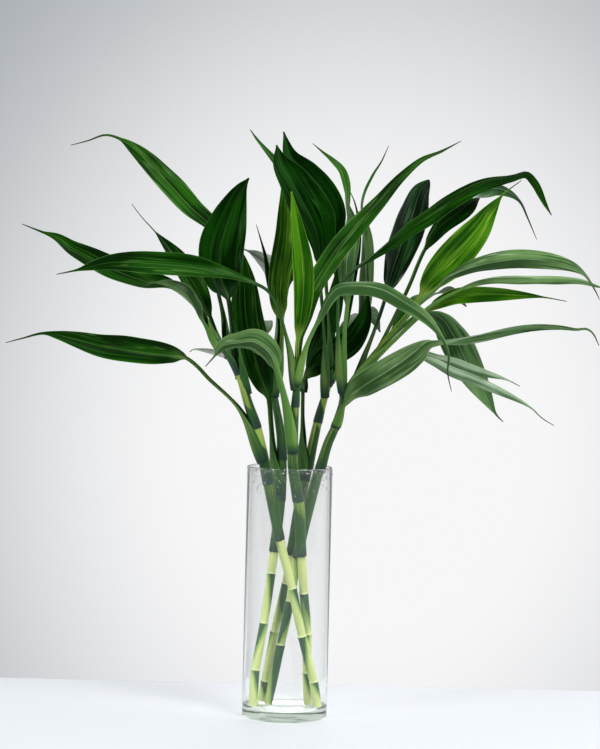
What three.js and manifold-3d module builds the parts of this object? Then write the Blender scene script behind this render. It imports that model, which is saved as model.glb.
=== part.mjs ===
// Lucky bamboo: five cut Dracaena canes with their leaves in a clear glass cylinder vase.
// Millimetres, +Z up, origin at the centre of the vase's underside, X to the right of the front view.
import * as THREE from 'three';
import { mergeVertices } from 'three/addons/utils/BufferGeometryUtils.js';
import Module from 'manifold-3d';

const wasm = await Module();
wasm.setup();

// ---- Vase ----
const VASE_RADIUS = 51;
const VASE_HEIGHT = 300;
const VASE_WALL = 3.2;
const VASE_FLOOR = 12;
const VASE_FOOT_ROUND = 3;
const VASE_FLOOR_ROUND = 5;
const VASE_SIDES = 56;

// ---- Canes ----
const CANE_COLLAR = 5.7;
const CANE_NECK = 4.9;
const CANE_BODY = 5.3;
const NECK_SHARE = 0.33;
const COLLAR_HEIGHT = 3.5;
const CANE_SIDES = 12;

// ---- Leafy shoots ----
const SHOOT_BASE = 6.3;
const SHOOT_TIP = 4.2;
const SHOOT_SIDES = 12;
const SHOOT_STEP = 22;
const JOINT_GAP = 0.3;

// ---- Leaves ----
const SHEATH_HALF_WIDTH = 3.6;
const PETIOLE_HALF_WIDTH = 1.9;
const TAIL_HALF_WIDTH = 0.6;
const TIP_HALF_WIDTH = 0.4;
const PETIOLE_THICKNESS = 2.6;
const MIDRIB_THICKNESS = 1.6;
const TIP_THICKNESS = 0.8;
const BLADE_THICKNESS = 0.7;
const BLADE_BELLY = 0.42;
const BLADE_TAPER = 1.15;
const PETIOLE_CHANNEL = 0.3;
const BLADE_FOLD = 0.16;
const PETIOLE_STEPS = 5;
const BLADE_STEPS = 11;
const TAIL_STEPS = 2;
const SHEATH_SHARE = 0.5;
const RIB_SHARE = 0.33;
const ROUTE_SAMPLES = 20;

// Routes are [x, z, depth]: x and z as seen from the front, on the upright plane through the vase's axis,
// from an eye VIEW_DISTANCE in front of the axis at VIEW_HEIGHT. The depth slides the point along its
// line of sight, away from the eye where it is positive.
const VIEW_DISTANCE = 2500;
const VIEW_HEIGHT = 490;

// Each stem: the joints of its cane from the cut foot up, the axis of its leafy shoot from there on, and
// its leaves.
// A leaf has its greatest width, the route points between which the blade runs (a petiole comes before
// and a dry tail after), the turn of its face in degrees along the blade (0 shows the upper face to the
// front, 180 the underside), and its midrib from the foot to the tip.
const STEMS = {
  left: {
    cane: [[39.6, 11.7, -12], [34, 42, -13], [19, 96, -15.5], [6, 153, -18], [-11.5, 214, -21]],
    shoot: [[-19, 250, -22.5], [-30, 300, -25], [-41, 344, -30], [-52, 375, -34],
      [-62, 405, -38], [-76, 430, -41], [-90, 447, -44]],
    leaves: [
      // low leaf that lies out to the far left
      { width: 32, blade: [5, 12], roll: [25, 12, 20],
        route: [[-32, 305, -27], [-48, 338, -30], [-66, 370, -34], [-100, 402, -44], [-115, 417.5, -50],
          [-128, 426.5, -55], [-143, 429, -60], [-166, 431, -66], [-197, 434.5, -74], [-227, 438, -80],
          [-258, 445, -84], [-280, 450, -87], [-299, 452, -89], [-322, 446, -91], [-343, 440, -92]] },
      // broad upright leaf
      { width: 56, blade: [3, 9], roll: [20, 4, 8],
        route: [[-54, 385, -34], [-63, 425, -38], [-73, 470, -38], [-79, 498, -37], [-88, 525, -35],
          [-89, 555, -33], [-83, 582, -31], [-76, 605, -29], [-66, 630, -27], [-57, 643, -26]] },
      // high striped leaf with a long dry tail
      { width: 28, blade: [3, 10], roll: [30, 15, 10],
        route: [[-62, 404, -37], [-71, 455, -22], [-80, 505, -12], [-84, 540, -8], [-93, 576, 0],
          [-125, 606, 12], [-148, 630, 20], [-163, 645, 26], [-177, 659, 30], [-194, 674, 35],
          [-212, 686, 38], [-229, 690, 40], [-249, 683, 42], [-270, 677, 44]] },
      // leaf to the far left, half behind the middle stem's flat one
      { width: 28, blade: [2, 9], roll: [70, 30, 12, 10],
        route: [[-90, 445, -43], [-103, 472, -50], [-122, 497, -56], [-150, 512, -60], [-180, 518, -62],
          [-210, 528, -64], [-244, 544, -66], [-266, 555, -67], [-284, 567, -68], [-302, 573, -69],
          [-326, 582, -70]] },
      // leaf with a hair-thin tail
      { width: 27, blade: [1, 5], roll: [10, 20, 35],
        route: [[-85, 440, -42.5], [-99, 475, -40], [-114, 505, -35], [-130, 530, -30], [-147, 553, -26],
          [-168, 577, -22], [-185, 595, -20], [-196, 609, -18]] },
      // small narrow leaf
      { width: 11, blade: [2, 6], roll: [70, 60, 40],
        route: [[-88, 438, -44], [-100, 453, -49], [-118, 476, -58], [-136, 495, -66], [-147, 505, -70],
          [-158, 510, -73], [-174, 511, -76], [-191, 506, -79]] },
      // leaf that leans away behind the broad one
      { width: 27, blade: [2, 6], roll: [20, 30, 20], back: true,
        route: [[-76, 428, -38], [-82, 470, -22], [-91, 505, 2], [-96, 533, 38], [-98, 550, 82],
          [-98, 553, 127], [-96, 540, 168]] },
    ],
  },
  rear: {
    cane: [[-37.8, 11, -15.5], [-36, 54, -8], [-27, 110, 2], [-19.6, 169, 13], [-16.5, 198, 18]],
    shoot: [[-11.5, 250, 27], [-10, 300, 36], [-11, 330, 40], [-14, 350, 43],
      [-19, 375, 47], [-22, 395, 50]],
    leaves: [
      // dark broad leaf on a black petiole
      { width: 45, blade: [3, 9], roll: [20, 12, 5],
        route: [[-13, 262, 29], [-22, 310, 34], [-25, 350, 34], [-28, 380, 30], [-37, 405, 24],
          [-45, 430, 19], [-52, 455, 15], [-57, 480, 12], [-60, 520, 8], [-66, 560, 6]] },
      // tall leaf with a pale gloss
      { width: 30, blade: [3, 10], roll: [-30, -20, -10],
        route: [[-20, 386, 48], [-13, 420, 40], [-12, 450, 32], [-13, 478, 25], [-15, 500, 18],
          [-15, 525, 12], [-9, 555, 6], [-8, 600, 2], [-11, 640, 0], [-18, 665, 0], [-25, 682, 2]] },
      // narrow spike
      { width: 9, blade: [1, 6], roll: [30, 20, 40],
        route: [[-20, 383, 48], [-18, 440, 38], [-16, 475, 32], [-25, 502, 27], [-32, 530, 24],
          [-36, 552, 22], [-42, 572, 20], [-47, 588, 19]] },
      // narrow top leaf that points left
      { width: 14, blade: [3, 7], roll: [30, 30, 20],
        route: [[-21, 392, 50], [-18, 450, 60], [-15, 510, 68], [-13, 560, 72], [-12, 620, 73],
          [-18, 652, 72], [-30, 668, 70], [-50, 691, 68], [-57, 701, 66]] },
      // grey underside that leans away to the left
      { width: 20, blade: [2, 5], roll: [185, 175, 165],
        route: [[-21, 390, 50], [-19, 440, 58], [-19, 490, 62], [-25, 533, 66], [-42, 549, 70],
          [-58, 557, 74], [-74, 561, 78]] },
      // leaf that arches away behind
      { width: 27, blade: [2, 5], roll: [10, 25, 20], back: true,
        route: [[-22, 393, 50], [-27, 425, 80], [-32, 455, 120], [-37, 471, 160], [-40, 474, 200],
          [-42, 461, 238]] },
      // leaf that stands up behind
      { width: 26, blade: [2, 6], roll: [-20, 10, 30], back: true,
        route: [[-21, 389, 49], [-16, 450, 78], [-8, 510, 106], [0, 550, 140], [4, 570, 180],
          [6, 568, 214], [7, 556, 238]] },
    ],
  },
  middle: {
    cane: [[28, 15.5, 8.5], [26, 53, 2.5], [25.5, 99, -4.5], [20, 148, -13], [15.5, 196, -21]],
    shoot: [[12, 250, -30], [3.5, 300, -38], [3, 330, -41], [4, 360, -44],
      [5.5, 390, -46], [6, 407, -47]],
    leaves: [
      // long flat leaf across the left side
      { width: 28, blade: [5, 11], roll: [70, 25, 8, 5],
        route: [[4, 392, -46], [-2, 425, -52], [-8, 450, -56], [-14, 472, -60], [-26, 501, -66],
          [-38, 512.5, -71], [-68, 523, -79], [-90, 529, -84], [-119, 535, -90], [-168, 538.5, -100],
          [-220, 538.5, -110], [-262, 528, -118], [-284, 523, -122]] },
      // bright upright leaf
      { width: 25, blade: [2, 7], roll: [10, 5, 10],
        route: [[4, 398, -46], [4, 425, -49], [5, 450, -51], [9, 480, -54], [11, 512, -57],
          [9, 545, -60], [1, 590, -62], [-6, 628, -60]] },
      // long leaf up to the right
      { width: 25, blade: [1, 8], roll: [10, 12, 20, 75],
        route: [[6, 404, -45], [10, 455, -46], [21, 512, -48], [36, 540, -52], [50, 562, -56],
          [66, 582, -60], [97, 618, -66], [112, 637, -70], [123, 649, -73], [148, 670, -77],
          [172, 681, -81], [195, 693, -84]] },
      // leaf that arches over in front to the right, with a hanging tip
      { width: 16, blade: [3, 11], roll: [150, 120, 140, 160, 110],
        route: [[6, 398, -48], [9, 413, -54], [17, 447, -61], [25, 467, -66], [34, 486, -69],
          [43, 504, -71], [53, 514, -73], [81, 517, -79], [105, 513, -85], [127, 502, -90],
          [160, 480, -98], [179, 457.5, -101], [187, 437, -101], [186, 417, -99], [191, 394, -96]] },
      // underside folded over in front, tip to the left
      { width: 28, blade: [3, 9], roll: [180, 165, 140, 170],
        route: [[4, 318, -40], [-2, 345, -47], [-12, 393, -57], [-18, 414, -62], [-25, 432, -68],
          [-34, 442, -73], [-47, 449, -77], [-66, 447, -80], [-84, 442, -80], [-93, 430, -79],
          [-104, 417, -77]] },
    ],
  },
  inner: {
    cane: [[-28.6, 17.8, 20], [-24, 41, 21], [-14, 100, 23], [-1.5, 157, 25], [4.5, 194, 27]],
    shoot: [[11, 240, 29], [22, 300, 32], [27, 329, 34], [31.6, 352, 36],
      [36.5, 373, 38], [41, 389, 40], [46, 405, 42]],
    leaves: [
      // front one of the dark pair over the top
      { width: 46, blade: [4, 10], roll: [40, 30, 25],
        route: [[40, 384, 39], [38, 420, 28], [37, 460, 15], [35, 500, 2], [33, 538, -10],
          [35, 562, -20], [31, 590, -30], [20, 615, -36], [4, 642, -40], [-11, 664, -40],
          [-19, 690, -38]] },
      // rear one of the dark pair
      { width: 38, blade: [4, 10], roll: [30, 25, 20],
        route: [[43, 396, 42], [43, 440, 36], [41, 480, 28], [39, 520, 15], [43, 556, 0],
          [49, 583, -10], [47, 605, -16], [37, 626, -20], [20, 648, -22], [-2, 669, -22],
          [-17, 698, -20]] },
      // dark leaf on the thin petiole beside the middle stem
      { width: 33, blade: [4, 9], roll: [-10, 5, 10],
        route: [[17, 280, 31], [13, 310, 27], [13, 350, 22], [13.5, 385, 18], [14, 402, 16],
          [33, 423, 20], [52, 439, 27], [69, 452, 35], [83, 476, 42], [88, 510, 46], [86, 552, 46]] },
      // its dark neighbour
      { width: 27, blade: [1, 5], roll: [-20, -10, 0],
        route: [[13.5, 390, 18], [18, 410, 20], [30, 440, 25], [42, 472, 30], [50, 505, 34],
          [54, 548, 36]] },
      // tall leaf with a thin tail to the right
      { width: 24, blade: [2, 9], roll: [175, 165, 120, 40],
        route: [[46, 402, 43], [62, 430, 54], [77, 460, 66], [84, 490, 70], [85, 520, 72],
          [85, 555, 72], [83, 584, 70], [78, 607, 68], [79, 625, 66], [90, 650, 62],
          [100, 666, 60], [109, 686, 58]] },
      // thin dark tip behind
      { width: 10, blade: [1, 5], roll: [20, 20, 20],
        route: [[44, 398, 41], [60, 460, 50], [68, 520, 46], [74, 560, 40], [75, 592, 36],
          [70, 616, 32], [63, 632, 30]] },
      // leaf that arches away behind
      { width: 28, blade: [1, 5], roll: [-10, -25, -20], back: true,
        route: [[46, 402, 43], [56, 440, 82], [70, 470, 122], [84, 485, 162], [96, 480, 202],
          [104, 463, 238]] },
      // leaf that stands up behind
      { width: 27, blade: [2, 6], roll: [20, -10, -30], back: true,
        route: [[45, 404, 43], [47, 465, 70], [49, 525, 96], [46, 575, 130], [41, 604, 168],
          [38, 608, 205], [36, 598, 232]] },
    ],
  },
  right: {
    cane: [[-19.8, 14.2, 1.5], [-6, 85, 2.5], [4, 137, 3.5], [11.5, 192, 5]],
    shoot: [[22, 240, 6.5], [37, 300, 8], [45, 329, 10], [53, 348, 12],
      [58, 365, 14], [61, 380, 15], [61, 396, 16]],
    leaves: [
      // leaf with a pale underside that turns over at the top
      { width: 24, blade: [3, 12], roll: [180, 175, 170, 95, 85, 30],
        route: [[61, 388, 17], [61, 420, 16], [62, 469, 13], [64, 492, 12], [62, 519, 12],
          [62, 546, 14], [64, 567, 18], [63, 593, 20], [59.5, 620, 20], [57.5, 640, 19],
          [53, 654, 18], [43, 665, 16], [29, 676.5, 14], [18, 686, 12]] },
      // dark leaf with a blunt tip
      { width: 40, blade: [4, 10], roll: [20, 12, 8],
        route: [[62, 386, 18], [76, 404, 20], [90, 442, 20], [103, 484, 25], [110, 510, 30],
          [117, 538, 34], [125, 562, 35], [133, 585, 34], [140, 607, 30], [147, 630, 26],
          [158, 646, 20]] },
      // long arched leaf, upper one
      { width: 19, blade: [5, 15], roll: [70, 30, 15, 20, 75, 15],
        route: [[60, 390, 13], [57, 406, 8], [53, 445, 0], [52, 498, -8], [53, 517, -13],
          [75, 541, -26], [92, 553, -32], [118, 572, -40], [136, 587, -44], [156, 600, -48],
          [184, 621, -52], [223, 643, -55], [256, 652, -56], [274, 656, -56], [284, 646, -56],
          [298, 619, -56], [305, 607, -56]] },
      // long arched leaf, lower one
      { width: 23, blade: [4, 10], roll: [30, 10, 20, 160, 150],
        route: [[63, 390, 16], [95, 429, 8], [118, 474, 2], [136, 517, -6], [154, 563, -12],
          [172, 590, -18], [197, 611, -24], [216, 627, -27], [235, 637, -29], [253, 633, -30],
          [267, 623, -30], [277, 603, -30], [288, 578, -30]] },
      // broad bright leaf
      { width: 41, blade: [4, 10], roll: [15, 5, 8],
        route: [[63, 386, 16], [83, 414, 8], [106, 447, -8], [133, 482, -24], [150, 508, -33],
          [166, 531, -42], [182, 548, -48], [199, 567, -54], [217, 589, -58], [231, 610, -60],
          [246, 630, -62], [268, 648, -64]] },
      // arched leaf that shows its underside
      { width: 22, blade: [3, 9], roll: [150, 190, 185, 180, 170],
        route: [[64, 388, 14], [95, 429, 0], [148, 497, -36], [169, 517, -44], [184, 530, -50],
          [217, 545, -66], [263, 554, -84], [309, 552, -100], [333, 546, -108], [347, 537, -112],
          [360, 518, -115], [365, 508, -116]] },
      // thin grey leaf
      { width: 14, blade: [4, 9], roll: [100, 120, 115, 120],
        route: [[62, 386, 15], [95, 428, -6], [125, 458, -18], [161, 495, -34], [200, 518, -43],
          [225, 528, -44], [262, 531, -46], [300, 531, -48], [340, 530, -50], [366, 523, -53]] },
      // straight leaf to the right
      { width: 21, blade: [2, 7], roll: [30, 15, 10],
        route: [[62, 384, 15], [113, 444, -10], [160, 492, -24], [188, 508, -34], [211, 511, -40],
          [234, 512, -46], [280, 511, -58], [301, 509, -62], [326, 505, -66]] },
      // broad drooping leaf
      { width: 40, blade: [2, 8], roll: [40, 15, 10, 20],
        route: [[61, 381, 16], [118, 458, 12], [156, 489, 18], [178, 480, 26], [190, 464, 30],
          [199, 448, 33], [208, 430, 34], [229, 395, 32], [246, 367, 29], [254, 359, 28]] },
      // grey-green leaf in front, twisting into its long outer half
      { width: 34, blade: [1, 14], roll: [185, 180, 165, 80, 60, 40, 30],
        route: [[54, 350, 11], [65, 378, -6], [79, 393, -28], [94, 404, -42], [111, 415, -56],
          [129, 427, -67], [146, 440, -75], [162, 452, -80], [182, 454, -84], [214, 460, -90],
          [258, 470, -98], [290, 474, -103], [319, 474, -107], [339, 472, -109], [350, 473, -110],
          [358, 468, -111], [366, 453, -111]], belly: 0.22 },
      // two pale narrow leaves below
      { width: 14, blade: [2, 7], roll: [165, 160, 150],
        route: [[64, 382, 16], [110, 424, 12], [152, 439, 9], [175, 433, 6], [193, 429, 2],
          [213, 422, -2], [236, 416, -6], [258, 409.5, -9], [273, 402, -10]] },
      { width: 13, blade: [2, 8], roll: [165, 160, 150],
        route: [[61, 377, 15], [110, 419, 6], [150, 434.5, 0], [170, 429, -8], [190, 419, -14],
          [212, 411, -18], [230, 404, -22], [271, 386, -30], [288, 376, -33], [300, 365, -34],
          [315, 356, -35]] },
      // leaf that arches away behind
      { width: 27, blade: [2, 6], roll: [-10, -20, -20], back: true,
        route: [[63, 390, 18], [95, 428, 34], [118, 463, 55], [145, 495, 85], [170, 511, 120],
          [190, 510, 155], [206, 496, 186]] },
    ],
  },
};

/** The real point behind a route's x, z and depth. */
function seen([x, z, depth]) {
  const reach = (VIEW_DISTANCE + depth) / VIEW_DISTANCE;
  return new THREE.Vector3(x * reach, depth, VIEW_HEIGHT + (z - VIEW_HEIGHT) * reach);
}

/** A closed skin over a row of rings with as many points each. Where the section is a flat one, the
 * first and second half of each ring are split into triangles alike, so its two faces never cross. */
function loft(rings, alike = false) {
  const count = rings[0].length;
  const positions = rings.flat().flatMap((point) => point.toArray());
  const index = [];
  for (let ring = 0; ring < rings.length - 1; ring += 1) {
    for (let side = 0; side < count; side += 1) {
      const next = (side + 1) % count;
      const [a, b] = [ring * count + side, ring * count + next];
      const [c, d] = [a + count, b + count];
      const crossed = alike && (side === 1 || side === 4);
      index.push(...(crossed ? [a, b, c, b, d, c] : [a, b, d, a, d, c]));
    }
  }
  const last = (rings.length - 1) * count;
  for (let side = 1; side < count - 1; side += 1) {
    index.push(0, side + 1, side);
    index.push(last, last + side, last + side + 1);
  }
  const geometry = new THREE.BufferGeometry();
  geometry.setAttribute('position', new THREE.Float32BufferAttribute(positions, 3));
  geometry.setIndex(index);
  return geometry;
}

/** A ring of points round a stem's axis. */
function roundRing(center, axis, radius, sides) {
  const right = new THREE.Vector3(0, 1, 0).cross(axis).normalize();
  const back = axis.clone().cross(right);
  return Array.from({ length: sides }, (_, side) => {
    const angle = (2 * Math.PI * side) / sides;
    return center.clone()
      .addScaledVector(right, radius * Math.cos(angle))
      .addScaledVector(back, radius * Math.sin(angle));
  });
}

/** The real joints of a cane, with the lower edge of its cut foot resting on the vase's floor. */
function caneJoints(cane) {
  const joints = cane.map(seen);
  const axis = joints[1].clone().sub(joints[0]).normalize();
  joints[0].z = VASE_FLOOR + JOINT_GAP + CANE_NECK * Math.hypot(axis.x, axis.y);
  return joints;
}

/** A cane: each internode rises from the wider collar that ends the one below it. */
function caneGeometry({ cane }) {
  const points = caneJoints(cane);
  const axes = points.map((point, i) => {
    const before = points[Math.max(i - 1, 0)];
    const after = points[Math.min(i + 1, points.length - 1)];
    return after.clone().sub(before).normalize();
  });
  const rings = [];
  for (let i = 0; i < points.length - 1; i += 1) {
    const length = points[i].distanceTo(points[i + 1]);
    const partway = (distance) => points[i].clone().lerp(points[i + 1], distance / length);
    const axis = axes[i].clone().lerp(axes[i + 1], 0.5).normalize();
    rings.push(roundRing(points[i], axes[i], CANE_NECK, CANE_SIDES));
    rings.push(roundRing(partway(NECK_SHARE * length), axis, CANE_BODY, CANE_SIDES));
    rings.push(roundRing(partway(length - COLLAR_HEIGHT), axis, CANE_BODY, CANE_SIDES));
    rings.push(roundRing(points[i + 1], axes[i + 1], CANE_COLLAR, CANE_SIDES));
  }
  return loft(rings);
}

/** The rolled leaf sheaths that make a shoot's false stem, tapering to where its last leaves part. */
function shootGeometry({ cane, shoot }) {
  const [below, top] = cane.slice(-2).map(seen);
  const caneAxis = top.clone().sub(below).normalize();
  const start = top.addScaledVector(caneAxis, JOINT_GAP);
  const curve = new THREE.CatmullRomCurve3([start, ...shoot.map(seen)]);
  const steps = Math.round(curve.getLength() / SHOOT_STEP);
  const rings = Array.from({ length: steps + 1 }, (_, step) => {
    const share = step / steps;
    const axis = step === 0 ? caneAxis : curve.getTangentAt(share);
    const radius = THREE.MathUtils.lerp(SHOOT_BASE, SHOOT_TIP, share ** 2);
    return roundRing(curve.getPointAt(share), axis, radius, SHOOT_SIDES);
  });
  return loft(rings);
}

/** A value read off a short list of values that are spread evenly from 0 to 1. */
function along(values, share) {
  const place = THREE.MathUtils.clamp(share, 0, 1) * (values.length - 1);
  const first = Math.min(Math.floor(place), values.length - 2);
  return THREE.MathUtils.lerp(values[first], values[first + 1], place - first);
}

/** Half the blade's width at a share of its length: full at the belly, drawn out to the tip. */
function bladeHalfWidth(width, belly, share) {
  const rise = (BLADE_TAPER * belly) / (1 - belly);
  return (width / 2) * (share / belly) ** rise * ((1 - share) / (1 - belly)) ** BLADE_TAPER;
}

/** The stations along a leaf, as shares of its whole length, and where its blade starts and ends. */
function leafStations(curve, blade) {
  const segments = curve.points.length - 1;
  const lengths = curve.getLengths(segments * ROUTE_SAMPLES);
  const [start, end] = blade.map((point) => lengths[point * ROUTE_SAMPLES] / lengths.at(-1));
  const stations = [];
  for (let i = 0; i < PETIOLE_STEPS; i += 1) {
    stations.push((start * i) / PETIOLE_STEPS);
  }
  for (let i = 0; i < BLADE_STEPS; i += 1) {
    stations.push(start + ((end - start) * i) / BLADE_STEPS);
  }
  for (let i = 0; i <= TAIL_STEPS; i += 1) {
    stations.push(end + ((1 - end) * i) / TAIL_STEPS);
  }
  return { stations: stations.filter((station, i) => i === 0 || station > stations[i - 1]), start, end };
}

/** The direction across an unturned leaf: level with the front view, or with X on one that arches back. */
function acrossOf(tangent, back) {
  return back
    ? tangent.clone().multiplyScalar(tangent.x).sub(new THREE.Vector3(1, 0, 0)).normalize()
    : new THREE.Vector3(-tangent.z, 0, tangent.x).normalize();
}

/** One leaf, from the foot of its channelled petiole through the folded blade to the dry tail. */
function leafGeometry({ width, blade, roll, route, belly = BLADE_BELLY, back = false }) {
  const curve = new THREE.CatmullRomCurve3(route.map(seen));
  const { stations, start, end } = leafStations(curve, blade);
  const { lerp, clamp, degToRad } = THREE.MathUtils;
  const rings = stations.map((station) => {
    const center = curve.getPointAt(station);
    const tangent = curve.getTangentAt(station);
    const onBlade = clamp((station - start) / (end - start), 0, 1);
    const stalk = station < start
      ? lerp(SHEATH_HALF_WIDTH, PETIOLE_HALF_WIDTH, Math.min(station / (SHEATH_SHARE * start), 1))
      : lerp(PETIOLE_HALF_WIDTH, TAIL_HALF_WIDTH, onBlade);
    const half = station > end
      ? lerp(TAIL_HALF_WIDTH, TIP_HALF_WIDTH, (station - end) / (1 - end))
      : Math.max(stalk, bladeHalfWidth(width, belly, onBlade));
    const flat = clamp(half / PETIOLE_HALF_WIDTH - 1, 0, 1) * (station >= start ? 1 : 0);
    const rib = station < start
      ? PETIOLE_THICKNESS
      : lerp(lerp(PETIOLE_THICKNESS, MIDRIB_THICKNESS, Math.min(onBlade / RIB_SHARE, 1)),
        TIP_THICKNESS, onBlade ** 2);
    const edge = lerp(Math.min(rib, PETIOLE_THICKNESS / 2), BLADE_THICKNESS, flat);
    const fold = half * lerp(PETIOLE_CHANNEL, BLADE_FOLD, flat);
    const turn = degToRad(along(roll, onBlade));
    const side = acrossOf(tangent, back);
    const face = tangent.clone().cross(side);
    const across = side.clone().multiplyScalar(Math.cos(turn)).addScaledVector(face, Math.sin(turn));
    const up = tangent.clone().cross(across);
    const place = (sideways, upwards) => center.clone()
      .addScaledVector(across, sideways)
      .addScaledVector(up, upwards);
    return [
      place(half, fold + edge / 2), place(0, rib / 2), place(-half, fold + edge / 2),
      place(-half, fold - edge / 2), place(0, -rib / 2), place(half, fold - edge / 2),
    ];
  });
  return loft(rings, true);
}

/** The cylinder vase: thick floor, thin wall, rounded rim and foot. */
function vaseGeometry() {
  const rim = VASE_WALL / 2;
  const inner = VASE_RADIUS - VASE_WALL;
  const outline = new THREE.Path();
  outline.moveTo(0, 0);
  outline.lineTo(VASE_RADIUS - VASE_FOOT_ROUND, 0);
  outline.absarc(VASE_RADIUS - VASE_FOOT_ROUND, VASE_FOOT_ROUND, VASE_FOOT_ROUND, -Math.PI / 2, 0);
  outline.lineTo(VASE_RADIUS, VASE_HEIGHT - rim);
  outline.absarc(VASE_RADIUS - rim, VASE_HEIGHT - rim, rim, 0, Math.PI);
  outline.lineTo(inner, VASE_FLOOR + VASE_FLOOR_ROUND);
  outline.absarc(inner - VASE_FLOOR_ROUND, VASE_FLOOR + VASE_FLOOR_ROUND, VASE_FLOOR_ROUND, 0,
    -Math.PI / 2, true);
  outline.lineTo(0, VASE_FLOOR);
  return new THREE.LatheGeometry(outline.getPoints(2), VASE_SIDES).rotateX(Math.PI / 2);
}

/** A geometry as a solid that can be joined. */
function solidOf(geometry) {
  const bare = mergeVertices(geometry);
  return new wasm.Manifold(new wasm.Mesh({
    numProp: 3,
    vertProperties: bare.attributes.position.array,
    triVerts: new Uint32Array(bare.index.array),
  }));
}

/** Geometries joined into one body. */
function joined(geometries) {
  const solid = geometries.map(solidOf).reduce((body, piece) => body.add(piece));
  const mesh = solid.getMesh();
  const geometry = new THREE.BufferGeometry();
  geometry.setAttribute('position', new THREE.Float32BufferAttribute(mesh.vertProperties, 3));
  geometry.setIndex(Array.from(mesh.triVerts));
  return geometry;
}

function glassMaterial() {
  return new THREE.MeshStandardMaterial({ color: '#dfe6e2', roughness: 0.05, metalness: 0 });
}

function caneMaterial() {
  return new THREE.MeshStandardMaterial({ color: '#a9bf66', roughness: 0.45, metalness: 0 });
}

function leafMaterial() {
  return new THREE.MeshStandardMaterial({ color: '#2a6318', roughness: 0.4, metalness: 0 });
}

const bamboo = new THREE.Group();

function addPiece(name, geometry, material) {
  const piece = new THREE.Mesh(geometry, material);
  piece.name = name;
  bamboo.add(piece);
}

addPiece('vase', vaseGeometry(), glassMaterial());
for (const [name, stem] of Object.entries(STEMS)) {
  addPiece(`cane_${name}`, caneGeometry(stem), caneMaterial());
  const leafy = [shootGeometry(stem), ...stem.leaves.map(leafGeometry)];
  addPiece(`shoot_${name}`, joined(leafy), leafMaterial());
}

export default bamboo;
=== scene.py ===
"""Lucky bamboo: five cut canes with their leafy shoots, standing in a clear glass cylinder vase.

Everything is in the frame of the part: metres, +Z up, the origin at the centre of the vase's underside and
the front towards -Y.
"""

import logging
import math
import random
from bisect import bisect_right
from collections.abc import Callable
from dataclasses import dataclass
from enum import Enum
from functools import partial
from typing import ClassVar

import bmesh
import bpy
from mathutils import Matrix, Vector


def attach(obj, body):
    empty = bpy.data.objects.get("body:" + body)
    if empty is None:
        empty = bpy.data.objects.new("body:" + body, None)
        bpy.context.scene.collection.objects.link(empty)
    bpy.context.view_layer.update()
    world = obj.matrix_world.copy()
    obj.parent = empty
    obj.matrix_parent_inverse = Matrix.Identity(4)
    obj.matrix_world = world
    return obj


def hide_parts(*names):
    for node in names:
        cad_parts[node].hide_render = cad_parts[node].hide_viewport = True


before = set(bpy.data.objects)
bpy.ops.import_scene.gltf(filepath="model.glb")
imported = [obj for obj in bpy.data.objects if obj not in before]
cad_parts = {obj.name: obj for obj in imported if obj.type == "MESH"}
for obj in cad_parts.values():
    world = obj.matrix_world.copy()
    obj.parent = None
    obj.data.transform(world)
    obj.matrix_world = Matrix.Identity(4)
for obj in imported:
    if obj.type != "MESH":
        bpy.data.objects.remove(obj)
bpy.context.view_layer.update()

LOG = logging.getLogger("lucky_bamboo")

MM = 0.001
ROOT = "root"
VIEW_DISTANCE = 2500.0
VIEW_HEIGHT = 490.0

Pair = tuple[float, float]
Point = tuple[float, float, float]
Material = bpy.types.Material
Socket = bpy.types.NodeSocket
Mark = Callable[[float], Vector]


# ---- Forms: where each stem and leaf runs ----
# Routes are (x, z, depth) in millimetres: x and z as seen from the front, on the upright plane through the
# vase's axis, from VIEW_DISTANCE in front of it at VIEW_HEIGHT. The depth slides the point along its line
# of sight, away from the front where it is positive.


class LeafTone(Enum):
    """How deep the green of a leaf's upper face is: partly the leaf's own green, partly painted light and
    shade.
    """

    # DARK is painted shade for leaves that stand in shade; BRIGHT adds painted light shining through a leaf
    # lit from behind.
    DARK = "dark"
    GLOSSY = "glossy"
    DEEP = "deep"
    MID = "mid"
    BRIGHT = "bright"
    GREY = "grey"
    SILVER = "silver"
    ASH = "ash"


DARK, GLOSSY, DEEP, MID, BRIGHT, GREY, SILVER, ASH = LeafTone


@dataclass(frozen=True)
class LeafForm:
    """One leaf: its greatest width, where its blade starts and ends, the turn of its face and its route.

    The belly is where along the blade it is widest, the taper how sharply it narrows to both ends, the tail
    half the width that is left where the blade runs out into its drawn-out tip, and the stalk the radius of
    the channelled petiole.
    """

    name: str
    tone: LeafTone
    width: float
    blade: tuple[int, int]
    roll: tuple[float, ...]
    route: tuple[Point, ...]
    belly: float = 0.42
    back: bool = False
    taper: float = 1.05
    tail: float = 1.1
    stalk: float = 1.8


@dataclass(frozen=True)
class StemForm:
    """One stem: the joints of its cane, the axis of its leafy shoot and its leaves.

    The nodes are the heights at which a sheath ends round the shoot, each with how pale the skin is below.
    """

    name: str
    cane: tuple[Point, ...]
    shoot: tuple[Point, ...]
    nodes: tuple[Pair, ...]
    leaves: tuple[LeafForm, ...]


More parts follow.
